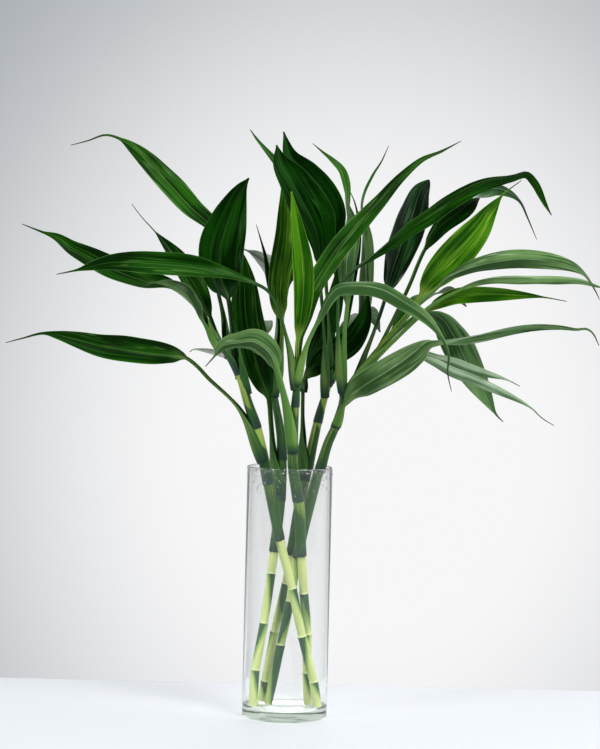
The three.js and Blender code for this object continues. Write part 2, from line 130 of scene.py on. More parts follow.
LEFT_LEAVES = (
    LeafForm("low", DEEP, 32, (5, 12), (25, 12, 20), belly=0.36, taper=0.9, tail=1.9, route=(
        (-32, 305, -27), (-48, 338, -30), (-66, 370, -34), (-100, 402, -44), (-115, 417.5, -50),
        (-128, 426.5, -55), (-143, 429, -60), (-166, 431, -66), (-197, 434.5, -74), (-227, 438, -80),
        (-258, 445, -84), (-280, 450, -87), (-299, 452, -89), (-322, 446, -91), (-343, 440, -92))),
    LeafForm("broad", DARK, 56, (3, 9), (20, 4, 8), belly=0.36, taper=1.0, stalk=2.3, route=(
        (-54, 385, -34), (-63, 425, -38), (-73, 470, -38), (-79, 498, -37), (-88, 525, -35),
        (-89, 555, -33), (-83, 582, -31), (-76, 605, -29), (-66, 630, -27), (-57, 643, -26))),
    LeafForm("striped", MID, 28, (3, 10), (30, 15, 10), belly=0.55, taper=0.8, tail=2.0, route=(
        (-62, 404, -37), (-71, 455, -22), (-80, 505, -12), (-84, 540, -8), (-93, 576, 0), (-125, 606, 12),
        (-148, 630, 20), (-163, 645, 26), (-177, 659, 30), (-194, 674, 35), (-212, 686, 38),
        (-229, 690, 40), (-249, 683, 42), (-270, 677, 44))),
    LeafForm("far", DEEP, 28, (2, 9), (70, 30, 12, 10), belly=0.45, taper=0.95, tail=1.5, route=(
        (-90, 445, -43), (-103, 472, -50), (-122, 497, -56), (-150, 512, -60), (-180, 518, -62),
        (-210, 528, -64), (-244, 544, -66), (-266, 555, -67), (-284, 567, -68), (-302, 573, -69),
        (-326, 582, -70))),
    LeafForm("hair_tail", DEEP, 27, (1, 5), (10, 20, 35), tail=0.9, route=(
        (-85, 440, -42.5), (-99, 475, -40), (-114, 505, -35), (-130, 530, -30), (-147, 553, -26),
        (-168, 577, -22), (-185, 595, -20), (-196, 609, -18))),
    LeafForm("small", MID, 19, (2, 6), (110, 150, 150), belly=0.36, taper=0.9, tail=1.0, route=(
        (-88, 438, -44), (-99, 455, -49), (-111, 474, -58), (-121, 493, -66), (-133, 507, -70),
        (-148, 514, -73), (-166, 516, -76), (-186, 510, -79))),
    LeafForm("leaning", DEEP, 27, (2, 6), (20, 30, 20), back=True, route=(
        (-76, 428, -38), (-82, 470, -22), (-91, 505, 2), (-96, 533, 38), (-98, 550, 82), (-98, 553, 127),
        (-96, 540, 168))),
)
REAR_LEAVES = (
    LeafForm("dark", DEEP, 43, (3, 9), (20, 12, 5), taper=0.85, stalk=2.6, route=(
        (-13, 262, 29), (-22, 310, 34), (-25, 350, 34), (-28, 380, 30), (-37, 405, 24), (-45, 430, 19),
        (-52, 455, 15), (-57, 480, 12), (-60, 520, 8), (-66, 560, 6))),
    LeafForm("glossy", BRIGHT, 30, (3, 10), (-30, -20, -10), belly=0.32, taper=0.8, route=(
        (-20, 386, 48), (-13, 420, 40), (-12, 450, 32), (-13, 476, 25), (-16, 500, 18), (-16, 525, 12),
        (-12, 555, 6), (-10, 590, 2), (-10, 625, 0), (-13, 652, 0), (-19, 670, 2))),
    LeafForm("spike", DARK, 9, (1, 6), (30, 20, 40), tail=1.2, route=(
        (-20, 383, 48), (-18, 440, 38), (-16, 475, 32), (-25, 502, 27), (-32, 530, 24), (-36, 552, 22),
        (-42, 572, 20), (-47, 588, 19))),
    LeafForm("top", MID, 14, (3, 7), (30, 30, 20), tail=1.8, route=(
        (-21, 392, 50), (-18, 450, 60), (-15, 510, 68), (-13, 560, 72), (-12, 620, 73), (-18, 652, 72),
        (-30, 668, 70), (-50, 691, 68), (-57, 701, 66))),
    LeafForm("grey", ASH, 26, (2, 5), (185, 175, 165), tail=1.2, route=(
        (-21, 390, 50), (-19, 440, 58), (-19, 490, 62), (-25, 533, 66), (-42, 549, 70), (-58, 557, 74),
        (-74, 561, 78))),
    LeafForm("pale_tip", ASH, 8, (2, 5), (170, 180, 175), tail=0.8, route=(
        (-20, 378, 48), (-38, 402, 62), (-58, 420, 72), (-76, 430, 79), (-96, 435, 85), (-119, 437, 91),
        (-123, 434, 92))),
    LeafForm("arching", DEEP, 27, (2, 5), (10, 25, 20), back=True, route=(
        (-22, 393, 50), (-27, 425, 80), (-32, 455, 120), (-37, 471, 160), (-40, 474, 200),
        (-42, 461, 238))),
    LeafForm("standing", DEEP, 26, (2, 6), (-20, 10, 30), back=True, route=(
        (-21, 389, 49), (-16, 450, 78), (-8, 510, 106), (0, 550, 140), (4, 570, 180), (6, 568, 214),
        (7, 556, 238))),
)
MIDDLE_LEAVES = (
    LeafForm("flat", DEEP, 28, (5, 11), (70, 25, 8, 5), belly=0.52, taper=0.95, tail=1.3, route=(
        (4, 392, -46), (-2, 425, -52), (-8, 450, -56), (-14, 472, -60), (-26, 501, -66), (-38, 512.5, -71),
        (-68, 523, -79), (-90, 529, -84), (-119, 535, -90), (-168, 538.5, -100), (-220, 538.5, -110),
        (-262, 528, -118), (-284, 523, -122))),
    LeafForm("upright", BRIGHT, 25, (2, 7), (10, 5, 10), route=(
        (4, 398, -46), (4, 425, -49), (5, 450, -51), (9, 480, -54), (11, 512, -57), (9, 545, -60),
        (1, 590, -62), (-6, 628, -60))),
    LeafForm("long", MID, 25, (1, 10), (10, 12, 20, 40, 45), belly=0.36, taper=0.9, tail=2.4, route=(
        (6, 404, -45), (10, 455, -46), (21, 512, -48), (36, 540, -52), (50, 562, -56), (66, 582, -60),
        (97, 618, -66), (112, 637, -70), (123, 649, -73), (148, 670, -77), (172, 681, -81),
        (195, 693, -84))),
    LeafForm("hanging", MID, 20, (3, 11), (150, 140, 150, 165, 150), belly=0.5, taper=0.75,
             tail=3.0, route=(
        (6, 398, -48), (9, 413, -54), (17, 447, -61), (25, 467, -66), (34, 486, -69), (43, 504, -71),
        (53, 514, -73), (81, 517, -79), (105, 513, -85), (127, 502, -90), (160, 480, -98),
        (179, 457.5, -101), (187, 437, -101), (186, 417, -99), (191, 394, -96))),
    LeafForm("folded", MID, 28, (3, 9), (180, 165, 140, 170), taper=0.85, tail=1.3, stalk=3.0,
             route=(
        (4, 318, -40), (-2, 345, -47), (-12, 393, -57), (-18, 414, -62), (-25, 432, -68), (-34, 442, -73),
        (-47, 449, -77), (-66, 447, -80), (-84, 442, -80), (-93, 430, -79), (-104, 417, -77))),
)
INNER_LEAVES = (
    LeafForm("dark_front", DARK, 55, (4, 10), (40, 30, 25), belly=0.47, route=(
        (40, 384, 39), (38, 420, 28), (36, 460, 15), (32, 500, 2), (28, 538, -10), (29, 562, -20),
        (22, 590, -30), (9, 615, -36), (-7, 641, -40), (-20, 662, -40), (-25, 683, -38))),
    LeafForm("dark_back", DARK, 38, (4, 10), (30, 25, 20), route=(
        (43, 396, 42), (43, 440, 36), (41, 480, 28), (37, 520, 15), (38, 556, 0), (42, 583, -10),
        (41, 605, -16), (31, 626, -20), (12, 648, -22), (-8, 669, -22), (-17, 699, -20))),
    LeafForm("dark_low", DARK, 33, (4, 9), (-10, 5, 10), route=(
        (17, 280, 31), (13, 310, 28), (13, 350, 25), (13.5, 385, 24), (14, 402, 26), (33, 423, 38),
        (52, 439, 47), (69, 452, 52), (83, 476, 56), (88, 510, 58), (86, 552, 56))),
    LeafForm("dark_side", DARK, 27, (1, 5), (-20, -10, 0), route=(
        (13.5, 390, 23), (18, 410, 28), (30, 440, 42), (42, 472, 50), (50, 505, 52), (54, 548, 50))),
    LeafForm("tall", MID, 19, (2, 9), (175, 165, 120, 40), taper=0.9, tail=2.4, route=(
        (46, 402, 43), (62, 430, 54), (77, 460, 66), (84, 490, 70), (85, 520, 72), (85, 555, 72),
        (83, 584, 70), (78, 607, 68), (79, 625, 66), (90, 650, 62), (100, 666, 60), (109, 686, 58))),
    LeafForm("thin_tip", DARK, 10, (1, 5), (20, 20, 20), tail=1.0, route=(
        (44, 398, 41), (60, 460, 50), (68, 520, 46), (74, 560, 40), (75, 592, 36), (70, 616, 32),
        (63, 632, 30))),
    LeafForm("arching", DEEP, 28, (1, 5), (-10, -25, -20), back=True, route=(
        (46, 402, 43), (56, 440, 82), (70, 470, 122), (84, 485, 162), (96, 480, 202), (104, 463, 238))),
    LeafForm("standing", DEEP, 27, (2, 6), (20, -10, -30), back=True, route=(
        (45, 404, 43), (47, 465, 70), (49, 525, 96), (46, 575, 130), (41, 604, 168), (38, 608, 205),
        (36, 598, 232))),
)
RIGHT_LEAVES = (
    LeafForm("turned", MID, 24, (3, 12), (180, 175, 170, 95, 40, 30), taper=0.9, tail=1.8, route=(
        (61, 388, 17), (61, 420, 16), (62, 469, 13), (64, 492, 12), (62, 519, 12), (62, 546, 14),
        (64, 567, 18), (63, 593, 20), (59.5, 620, 20), (57.5, 640, 19), (53, 654, 18), (43, 665, 16),
        (29, 676.5, 14), (18, 686, 12))),
    LeafForm("blunt", GLOSSY, 40, (4, 10), (20, 12, 8), belly=0.5, taper=0.62, route=(
        (62, 386, 18), (76, 404, 20), (90, 442, 20), (103, 484, 25), (110, 510, 30), (117, 538, 34),
        (125, 562, 35), (133, 585, 34), (140, 607, 30), (147, 630, 26), (158, 646, 20))),
    LeafForm("arch_upper", DEEP, 19, (5, 15), (70, 30, 15, 20, 75, 15), belly=0.5, taper=0.6,
             tail=2.6, route=(
        (60, 390, 13), (57, 406, 8), (53, 445, 0), (52, 498, -8), (53, 517, -13), (75, 541, -26),
        (92, 553, -32), (118, 572, -40), (136, 587, -44), (156, 600, -48), (184, 621, -52), (223, 643, -55),
        (256, 652, -56), (274, 656, -56), (284, 646, -56), (298, 619, -56), (305, 607, -56))),
    LeafForm("arch_lower", DEEP, 23, (4, 10), (30, 10, 20, 160, 150), taper=0.8, tail=2.2, route=(
        (63, 390, 16), (95, 429, 8), (118, 474, 2), (136, 517, -6), (154, 563, -12), (172, 590, -18),
        (197, 611, -24), (216, 627, -27), (235, 637, -29), (253, 633, -30), (267, 623, -30),
        (277, 603, -30), (288, 578, -30))),
    LeafForm("broad", BRIGHT, 41, (4, 10), (15, 5, 8), route=(
        (63, 386, 16), (83, 414, 8), (106, 447, -8), (133, 482, -24), (150, 508, -33), (166, 531, -42),
        (182, 548, -48), (199, 567, -54), (217, 589, -58), (231, 610, -60), (246, 630, -62),
        (268, 648, -64))),
    LeafForm("underside", BRIGHT, 22, (3, 9), (150, 190, 185, 180, 170), belly=0.58, taper=0.75,
             tail=2.0, route=(
        (64, 388, 14), (95, 429, 0), (148, 497, -36), (169, 517, -44), (184, 530, -50), (217, 545, -66),
        (263, 554, -84), (309, 552, -100), (333, 546, -108), (347, 537, -112), (360, 518, -115),
        (365, 508, -116))),
    LeafForm("thin_grey", MID, 14, (4, 9), (110, 135, 140, 140), taper=0.55, route=(
        (62, 386, 15), (95, 428, -6), (125, 458, -18), (161, 495, -34), (200, 518, -43), (225, 528, -44),
        (262, 531, -46), (300, 531, -48), (340, 530, -50), (366, 523, -53))),
    LeafForm("straight", BRIGHT, 21, (2, 7), (30, 15, 10), belly=0.33, tail=0.9, route=(
        (62, 384, 15), (113, 444, -10), (160, 492, -24), (188, 508, -34), (211, 511, -40), (234, 512, -46),
        (280, 511, -58), (301, 509, -62), (326, 505, -66))),
    LeafForm("drooping", GREY, 40, (2, 8), (40, 15, 10, 20), tail=1.5, route=(
        (61, 381, 16), (118, 458, 12), (156, 489, 18), (178, 480, 26), (190, 464, 30), (199, 448, 33),
        (208, 430, 34), (229, 395, 32), (246, 367, 29), (254, 359, 28))),
    LeafForm("front", GREY, 34, (1, 14), (185, 180, 165, 80, 60, 40, 30), belly=0.22, tail=1.8,
             route=(
        (54, 350, 11), (65, 378, -6), (79, 393, -28), (94, 404, -42), (111, 415, -56), (129, 427, -67),
        (146, 440, -75), (162, 452, -80), (182, 454, -84), (214, 460, -90), (258, 470, -98),
        (290, 474, -103), (319, 474, -107), (339, 472, -109), (350, 473, -110), (358, 468, -111),
        (366, 453, -111))),
    LeafForm("pale_upper", SILVER, 14, (2, 7), (165, 160, 150), taper=0.85, tail=1.2, route=(
        (64, 382, 16), (110, 424, 12), (152, 439, 9), (175, 433, 6), (193, 429, 2), (213, 422, -2),
        (236, 416, -6), (258, 409.5, -9), (273, 402, -10))),
    LeafForm("pale_lower", SILVER, 13, (2, 8), (165, 160, 150), taper=0.85, tail=1.3, route=(
        (61, 377, 15), (110, 419, 6), (150, 434.5, 0), (170, 429, -8), (190, 419, -14), (212, 411, -18),
        (230, 404, -22), (271, 386, -30), (288, 376, -33), (300, 365, -34), (315, 356, -35))),
    LeafForm("arching", DEEP, 27, (2, 6), (-10, -20, -20), back=True, route=(
        (63, 390, 18), (95, 428, 34), (118, 463, 55), (145, 495, 85), (170, 511, 120), (190, 510, 155),
        (206, 496, 186))),
)

STEMS: tuple[StemForm, ...] = (
    StemForm("left",
        cane=((39.6, 11.7, -12), (34, 42, -13), (19, 96, -15.5), (6, 153, -18), (-11.5, 214, -21)),
        shoot=(
            (-19, 250, -22.5), (-30, 300, -25), (-41, 344, -30), (-52, 375, -34), (-62, 405, -38),
            (-76, 430, -41), (-90, 447, -44)),
        nodes=((279, 0.25), (346.4, 0.9), (410, 0.8)),
        leaves=LEFT_LEAVES),
    StemForm("rear",
        cane=((-37.8, 11, -15.5), (-36, 54, -8), (-27, 110, 2), (-19.6, 169, 13), (-16.5, 198, 18)),
        shoot=(
            (-11.5, 250, 27), (-10, 300, 36), (-11, 330, 40), (-14, 350, 43), (-19, 375, 47),
            (-22, 395, 50)),
        nodes=((252, 0.15), (305, 0.2)),
        leaves=REAR_LEAVES),
    StemForm("middle",
        cane=((28, 15.5, 8.5), (26, 53, 2.5), (25.5, 99, -4.5), (20, 148, -13), (15.5, 196, -21)),
        shoot=(
            (12, 250, -30), (3.5, 300, -38), (3, 330, -41), (4, 360, -44), (5.5, 390, -46), (6, 407, -47)),
        nodes=((261, 0.45), (318, 0.25), (374, 0.4)),
        leaves=MIDDLE_LEAVES),
    StemForm("inner",
        cane=((-28.6, 17.8, 20), (-24, 41, 21), (-14, 100, 23), (-1.5, 157, 25), (4.5, 194, 27)),
        shoot=(
            (11, 240, 29), (22, 300, 32), (27, 329, 34), (31.6, 352, 36), (36.5, 373, 38), (41, 389, 40),
            (46, 405, 42)),
        nodes=((277, 0.3), (351, 0.6), (395.7, 1.0)),
        leaves=INNER_LEAVES),
    StemForm("right",
        cane=((-19.8, 14.2, 1.5), (-6, 85, 2.5), (4, 137, 3.5), (11.5, 192, 5)),
        shoot=(
            (22, 240, 6.5), (37, 300, 8), (45, 329, 10), (53, 348, 12), (58, 365, 14), (61, 380, 15),
            (61, 396, 16)),
        nodes=((290, 0.2), (346.4, 0.3), (384, 0.3)),
        leaves=RIGHT_LEAVES),
)


# ---- Shared geometry ----


def seen(point: Point) -> Vector:
    """Give the real place of a route point.

    Args:
        point: x, z and depth in millimetres.

    Returns:
        The point in metres.
    """
    x, z, depth = point
    reach = (VIEW_DISTANCE + depth) / VIEW_DISTANCE
    return Vector((x * reach, depth, VIEW_HEIGHT + (z - VIEW_HEIGHT) * reach)) * MM


def clamp(value: float) -> float:
    """Keep a value from 0 to 1."""
    return min(max(value, 0.0), 1.0)


def mix(first: float, second: float, share: float) -> float:
    """Blend two numbers."""
    return first + (second - first) * share


def ease(value: float) -> float:
    """Turn 0 to 1 into a smooth step from 0 to 1."""
    value = clamp(value)
    return value * value * (3.0 - 2.0 * value)


def along(values: tuple[float, ...], share: float) -> float:
    """Read a value off a list that is spread evenly from 0 to 1.

    Args:
        values: the list.
        share: where to read it, from 0 to 1.

    Returns:
        The value there.
    """
    place = clamp(share) * (len(values) - 1)
    first = min(int(place), len(values) - 2)
    return mix(values[first], values[first + 1], place - first)


class Route:
    """A smooth line through points, read by the distance along it in metres."""

    STEPS = 16
    REACH = 0.5 * MM

    def __init__(self, points: list[Vector]) -> None:
        """Lay the line through the points.

        Args:
            points: the points in metres, at least two.
        """
        padded = [points[0] * 2 - points[1], *points, points[-1] * 2 - points[-2]]
        self.samples: list[Vector] = [points[0].copy()]
        for corners in zip(padded, padded[1:], padded[2:], padded[3:]):
            self.samples += self._segment(*corners)
        self.lengths: list[float] = [0.0]
        for first, second in zip(self.samples, self.samples[1:]):
            self.lengths.append(self.lengths[-1] + (second - first).length)

    def _segment(self, before: Vector, start: Vector, end: Vector, after: Vector) -> list[Vector]:
        """Sample one stretch between two points.

        Args:
            before: the point before the stretch.
            start: its first point.
            end: its last point.
            after: the point after it.

        Returns:
            The samples after start, up to end.
        """
        a, b, c = (math.sqrt((q - p).length) for p, q in ((before, start), (start, end), (end, after)))
        leaving = ((start - before) / a - (end - before) / (a + b) + (end - start) / b) * b
        arriving = ((end - start) / b - (after - start) / (b + c) + (after - end) / c) * b
        square = (end - start) * 3 - leaving * 2 - arriving
        cube = (start - end) * 2 + leaving + arriving
        shares = [(i + 1) / self.STEPS for i in range(self.STEPS)]
        return [start + leaving * t + square * t**2 + cube * t**3 for t in shares]

    @property
    def length(self) -> float:
        """Give the whole length."""
        return self.lengths[-1]

    def at_point(self, index: int) -> float:
        """Give the distance at which the line passes one of its points."""
        return self.lengths[index * self.STEPS]

    def point(self, distance: float) -> Vector:
        """Give the point at a distance.

        Args:
            distance: metres along the line, which runs straight on past both ends.

        Returns:
            The point.
        """
        low = min(max(bisect_right(self.lengths, distance) - 1, 0), len(self.lengths) - 2)
        step = self.lengths[low + 1] - self.lengths[low]
        return self.samples[low].lerp(self.samples[low + 1], (distance - self.lengths[low]) / step)

    def tangent(self, distance: float) -> Vector:
        """Give the direction of the line at a distance."""
        return (self.point(distance + self.REACH) - self.point(distance - self.REACH)).normalized()


def finished(name: str, bm: bmesh.types.BMesh, materials: list[Material]) -> bpy.types.Object:
    """Make an object of a bmesh.

    Args:
        name: the piece's name.
        bm: its shape, in place.
        materials: its materials.

    Returns:
        The object, linked to the scene.
    """
    mesh = bpy.data.meshes.new(name)
    bm.to_mesh(mesh)
    bm.free()
    for material in materials:
        mesh.materials.append(material)
    piece = bpy.data.objects.new(name, mesh)
    bpy.context.scene.collection.objects.link(piece)
    return piece


def fix(piece: bpy.types.Object, slot: str, *nodes: str) -> None:
    """Tie a piece to the frame.

    Args:
        piece: the new piece.
        slot: the name of a material slot, which is not used.
        nodes: the solids that it stands for.
    """
    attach(piece, ROOT)
    if nodes:
        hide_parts(*nodes)
    LOG.info("built %s with %d faces", piece.name, len(piece.data.polygons))


@dataclass
class Skin:
    """A closed skin wound round a row of rings, with marks that its material reads."""

    WELD: ClassVar[float] = 0.001 * MM

    name: str
    rings: list[list[Vector]]
    marks: dict[str, list[list[Vector]]]
    creases: tuple[int, ...] = ()
    under: range = range(0)

    def build(self, materials: list[Material]) -> bpy.types.Object:
        """Make the object.

        Args:
            materials: one material, or two where the skin has an under face.

        Returns:
            The object, at the origin.
        """
        around = len(self.rings[0])
        bm = bmesh.new()
        layers = {mark: bm.verts.layers.float_vector.new(mark) for mark in self.marks}
        bmesh.ops.create_grid(bm, x_segments=around, y_segments=len(self.rings) - 1, size=1.0)
        columns: dict[bmesh.types.BMVert, int] = {}
        for vert in bm.verts:
            column = round((vert.co.x + 1) / 2 * around)
            ring = round((vert.co.y + 1) / 2 * (len(self.rings) - 1))
            columns[vert] = column
            vert.co = self.rings[ring][column % around]
            for mark, layer in layers.items():
                vert[layer] = self.marks[mark][ring][column % around]
        for edge in bm.edges:
            first, second = (columns[vert] for vert in edge.verts)
            edge.smooth = not (first == second and first % around in self.creases)
        for face in bm.faces:
            face.smooth = True
            face.material_index = int(min(columns[vert] for vert in face.verts) in self.under)
        seam = [vert for vert, column in columns.items() if column % around == 0]
        bmesh.ops.remove_doubles(bm, verts=seam, dist=self.WELD)
        ends = [edge for edge in bm.edges if edge.is_boundary]
        bmesh.ops.holes_fill(bm, edges=ends, sides=0)
        bmesh.ops.recalc_face_normals(bm, faces=bm.faces[:])
        return finished(self.name, bm, materials)


class Stalk:
    """A round stalk, wound ring by ring, with the marks that its finish reads."""

    def __init__(self, around: int) -> None:
        """Start with no rings.

        Args:
            around: how many points a ring has.
        """
        self.turns = [math.tau * i / around for i in range(around)]
        self.rings: list[list[Vector]] = []
        self.marks: dict[str, list[list[Vector]]] = {"stalk_mark": [], "stalk_real": []}

    def ring(self, center: Vector, axis: Vector, radius: float, run: float, mark: Mark) -> None:
        """Add a ring.

        Args:
            center: its centre, in metres.
            axis: the stalk's direction there.
            radius: its radius in millimetres.
            run: how far up the stalk it is, in millimetres.
            mark: gives the skin's mark for a turn round the stalk.
        """
        right = Vector((0.0, 1.0, 0.0)).cross(axis).normalized()
        back = axis.cross(right)
        points = [(radius * math.cos(turn), radius * math.sin(turn)) for turn in self.turns]
        self.rings.append([center + right * (x * MM) + back * (y * MM) for x, y in points])
        self.marks["stalk_mark"].append([mark(turn) for turn in self.turns])
        self.marks["stalk_real"].append([Vector((x, y, run)) * MM for x, y in points])

    def build(self, name: str, material: Material, slot: str, node: str) -> None:
        """Make the piece and tie it to the frame."""
        fix(Skin(name, self.rings, self.marks).build([material]), slot, node)


# ---- Finishes ----


def linear(color: str) -> tuple[float, float, float, float]:
    """Turn an sRGB hex colour into linear light.

    Args:
        color: the colour, such as "#3f8a10".

    Returns:
        Red, green, blue and full alpha.
    """
    parts = [int(color[i : i + 2], 16) / 255 for i in (1, 3, 5)]
    light = [part / 12.92 if part <= 0.04045 else ((part + 0.055) / 1.055) ** 2.4 for part in parts]
    return (*light, 1.0)


class Nodes:
    """The node tree of a new material or world."""

    def __init__(self, owner: Material | bpy.types.World) -> None:
        """Start with an empty tree.

        Args:
            owner: the material or world.
        """
        owner.use_nodes = True
        self.owner = owner
        self.tree = owner.node_tree
        self.tree.nodes.clear()

    def add(self, kind: str, inputs: dict | None = None, out: int | str = 0, **settings: object) -> Socket:
        """Add a node with its settings and links.

        Args:
            kind: the node's type, without the word ShaderNode.
            inputs: a number, a hex colour or a socket for each input, by name or number.
            out: which output is wanted.
            settings: the node's own properties.

        Returns:
            The output's socket, or None where the node has no output.
        """
        node = self.tree.nodes.new(f"ShaderNode{kind}")
        for name, value in settings.items():
            setattr(node, name, value)
        for key, value in (inputs or {}).items():
            if isinstance(value, Socket):
                self.tree.links.new(value, node.inputs[key])
            else:
                node.inputs[key].default_value = linear(value) if isinstance(value, str) else value
        return node.outputs[out] if node.outputs else None

    def blend(self, share: object, first: object, second: object) -> Socket:
        """Mix two colours by a share."""
        return self.add("Mix", {0: share, 6: first, 7: second}, out=2, data_type="RGBA")

    def between(self, value: object, low: float, high: float, start: float = 0, end: float = 1) -> Socket:
        """Turn a range of values smoothly into the range from start to end."""
        inputs = {"Value": value, "From Min": low, "From Max": high, "To Min": start, "To Max": end}
        return self.add("MapRange", inputs, interpolation_type="SMOOTHSTEP")

    def surface(self, inputs: dict, **others: Socket) -> Material:
        """Wire the shader with its inputs, and other ends such as a volume, to the output."""
        self.add("OutputMaterial", {"Surface": self.add("BsdfPrincipled", inputs), **others})
        return self.owner

    def waxy(self, color: Socket, grain: Socket, depth: float, rough: Socket, gloss: float) -> Material:
        """Wire a plant's waxed skin to the output.

        Args:
            color: its colour.
            grain: the height of its grain.
            depth: how deep the grain is, in millimetres.
            rough: its roughness.
            gloss: how strongly it mirrors.

        Returns:
            The material.
        """
        bump = self.add("Bump", {"Height": grain, "Strength": 0.3, "Distance": depth * MM})
        shine = {"Roughness": rough, "IOR": 1.45, "Specular IOR Level": gloss}
        return self.surface({"Base Color": color, **shine, "Normal": bump})


@dataclass(frozen=True)
class LeafSkin:
    """Waxy leaf skin: streaks and veins along the blade, a pale margin, a bluish collar and a dry brown tip.

    The wax gives a broad soft gloss, which the fine veins break into streaks. The leaf_share attribute holds
    the place across, from -1 to 1, and the station along: 0 to 1 is the stalk, to 2 the blade, to 3 the tip.
    """

    name: str
    deep: str
    light: str
    vein: str
    stalk: str
    roughness: float
    show: float
    gloss: float
    dry: str = "#3a3426"
    rind: str = "#86a452"
    collar: str = "#1b3a2c"
    band: float = 10.0
    vein_gap: float = 4.2
    vein_width: float = 0.045
    streak_length: float = 120.0
    cloud_size: float = 55.0
    tone_span: Pair = (1.28, 1.74)
    rib_span: Pair = (0.05, 0.0)
    margin_span: Pair = (0.955, 0.985)
    stalk_span: Pair = (1.14, 0.98)
    collar_span: Pair = (0.15, 0.02)
    dry_span: Pair = (2.1, 2.8)

    def build(self) -> Material:
        """Make the material.

        Returns:
            The material, wired to its output.
        """
        nodes = Nodes(bpy.data.materials.new(self.name))
        real = nodes.add("Attribute", out="Vector", attribute_name="leaf_real")
        place = nodes.add("Attribute", out="Vector", attribute_name="leaf_share")
        share, station, _ = nodes.add("SeparateXYZ", {0: place}).node.outputs
        across = nodes.add("Math", {0: share}, operation="ABSOLUTE")
        broad = self._grain(nodes, real, self.band, 3.0)
        fine = self._grain(nodes, real, self.vein_gap, 1.0)
        cloud = nodes.add("TexNoise", {"Vector": real, "Scale": 1 / (self.cloud_size * MM)})
        off = nodes.add("Math", {0: fine, 1: 0.5}, operation="SUBTRACT")
        off = nodes.add("Math", {0: off}, operation="ABSOLUTE")
        veins = nodes.between(off, self.vein_width, 0.0)
        veins = nodes.add("Math", {0: veins, 1: nodes.between(broad, 0.42, 0.6)}, operation="MULTIPLY")
        tone = nodes.add("Math", {0: broad, 1: cloud}, operation="ADD")
        tone = nodes.add("Math", {0: fine, 1: tone}, operation="ADD")
        stalk = nodes.blend(nodes.between(broad, 0.46, 0.66, 0.0, 0.4), self.stalk, self.rind)
        stalk = nodes.blend(nodes.between(station, *self.collar_span, 0.0, 0.85), stalk, self.collar)
        color = self.deep
        for cover, tint in (
            (nodes.between(tone, *self.tone_span), self.light),
            (nodes.between(veins, 0.0, 1.0, 0.0, self.show), self.vein),
            (nodes.between(across, *self.rib_span, 0.0, self.show), self.vein),
            (nodes.between(across, *self.margin_span, 0.0, 0.5), self.vein),
            (nodes.between(station, *self.stalk_span), stalk),
            (nodes.between(station, *self.dry_span), self.dry),
        ):
            color = nodes.blend(cover, color, tint)
        rough = nodes.between(broad, 0.35, 0.65, self.roughness - 0.06, self.roughness + 0.1)
        return nodes.waxy(color, fine, 0.3, rough, self.gloss)

    def _grain(self, nodes: Nodes, real: Socket, gap: float, detail: float) -> Socket:
        """Give a noise that is drawn out along the leaf.

        Args:
            nodes: the material's nodes.
            real: the place on the flattened leaf, in metres.
            gap: the noise's size across the leaf, in millimetres.
            detail: how fine it is.

        Returns:
            The noise, from 0 to 1.
        """
        scale = (1 / (gap * MM), 1 / (self.streak_length * MM), 1.0)
        stretched = nodes.add("Mapping", {"Vector": real, "Scale": scale})
        return nodes.add("TexNoise", {"Vector": stretched, "Scale": 1.0, "Detail": detail})


# An underside is greyer and duller than the upper face, with the veins standing out.
# The deep-toned leaves' underside is darker with painted shade, for undersides turned away from the light.
DEEP_SHADED_UNDER = LeafSkin("leaf_underside_deep_shaded", "#16351a", "#365a30", "#8aa384", "#34592c", 0.46, 0.4, 0.12)
PALE_UNDER = LeafSkin("leaf_underside_pale", "#2c4e22", "#5c8046", "#a6ba92", "#4f7a36", 0.48, 0.45, 0.15)
SILVER_UNDER = LeafSkin("leaf_underside_silver", "#4a6a46", "#87a07e", "#c3d0bc", "#5c8050", 0.48, 0.5, 0.2)
ASH_UNDER = LeafSkin("leaf_underside_ash", "#5a6658", "#b0b7ab", "#dde1d8", "#6a8560", 0.5, 0.5, 0.2)

# The upper face is deeper and glossier. Each tone has its underside, and the looks of its upper skin.
LEAF_LOOKS = {
    # DARK's near-black green is painted shade, and BRIGHT's yellow-green is partly painted light through the
    # leaf.
    DARK: (DEEP_SHADED_UNDER, "#021801", "#0b3603", "#3a662c", "#1b381e", 0.34, 0.26, 0.03),
    GLOSSY: (DEEP_SHADED_UNDER, "#021104", "#123c0c", "#5c8458", "#1f3e28", 0.18, 0.34, 0.3),
    DEEP: (DEEP_SHADED_UNDER, "#052301", "#144404", "#5a8a3c", "#264c1f", 0.32, 0.36, 0.05),
    MID: (PALE_UNDER, "#0a2c03", "#255c0c", "#7fa45a", "#40692a", 0.34, 0.4, 0.08),
    BRIGHT: (PALE_UNDER, "#174803", "#3e7508", "#9cbf48", "#86a640", 0.36, 0.36, 0.07),
    GREY: (PALE_UNDER, "#23491a", "#5c844a", "#b0c2a2", "#4f7a36", 0.4, 0.45, 0.15),
    SILVER: (SILVER_UNDER, "#34583a", "#6f8f6c", "#bccab6", "#4a7438", 0.4, 0.5, 0.2),
    ASH: (ASH_UNDER, "#2c4a2a", "#5f7d58", "#b7c3ae", "#4a6c3c", 0.4, 0.5, 0.2),
}


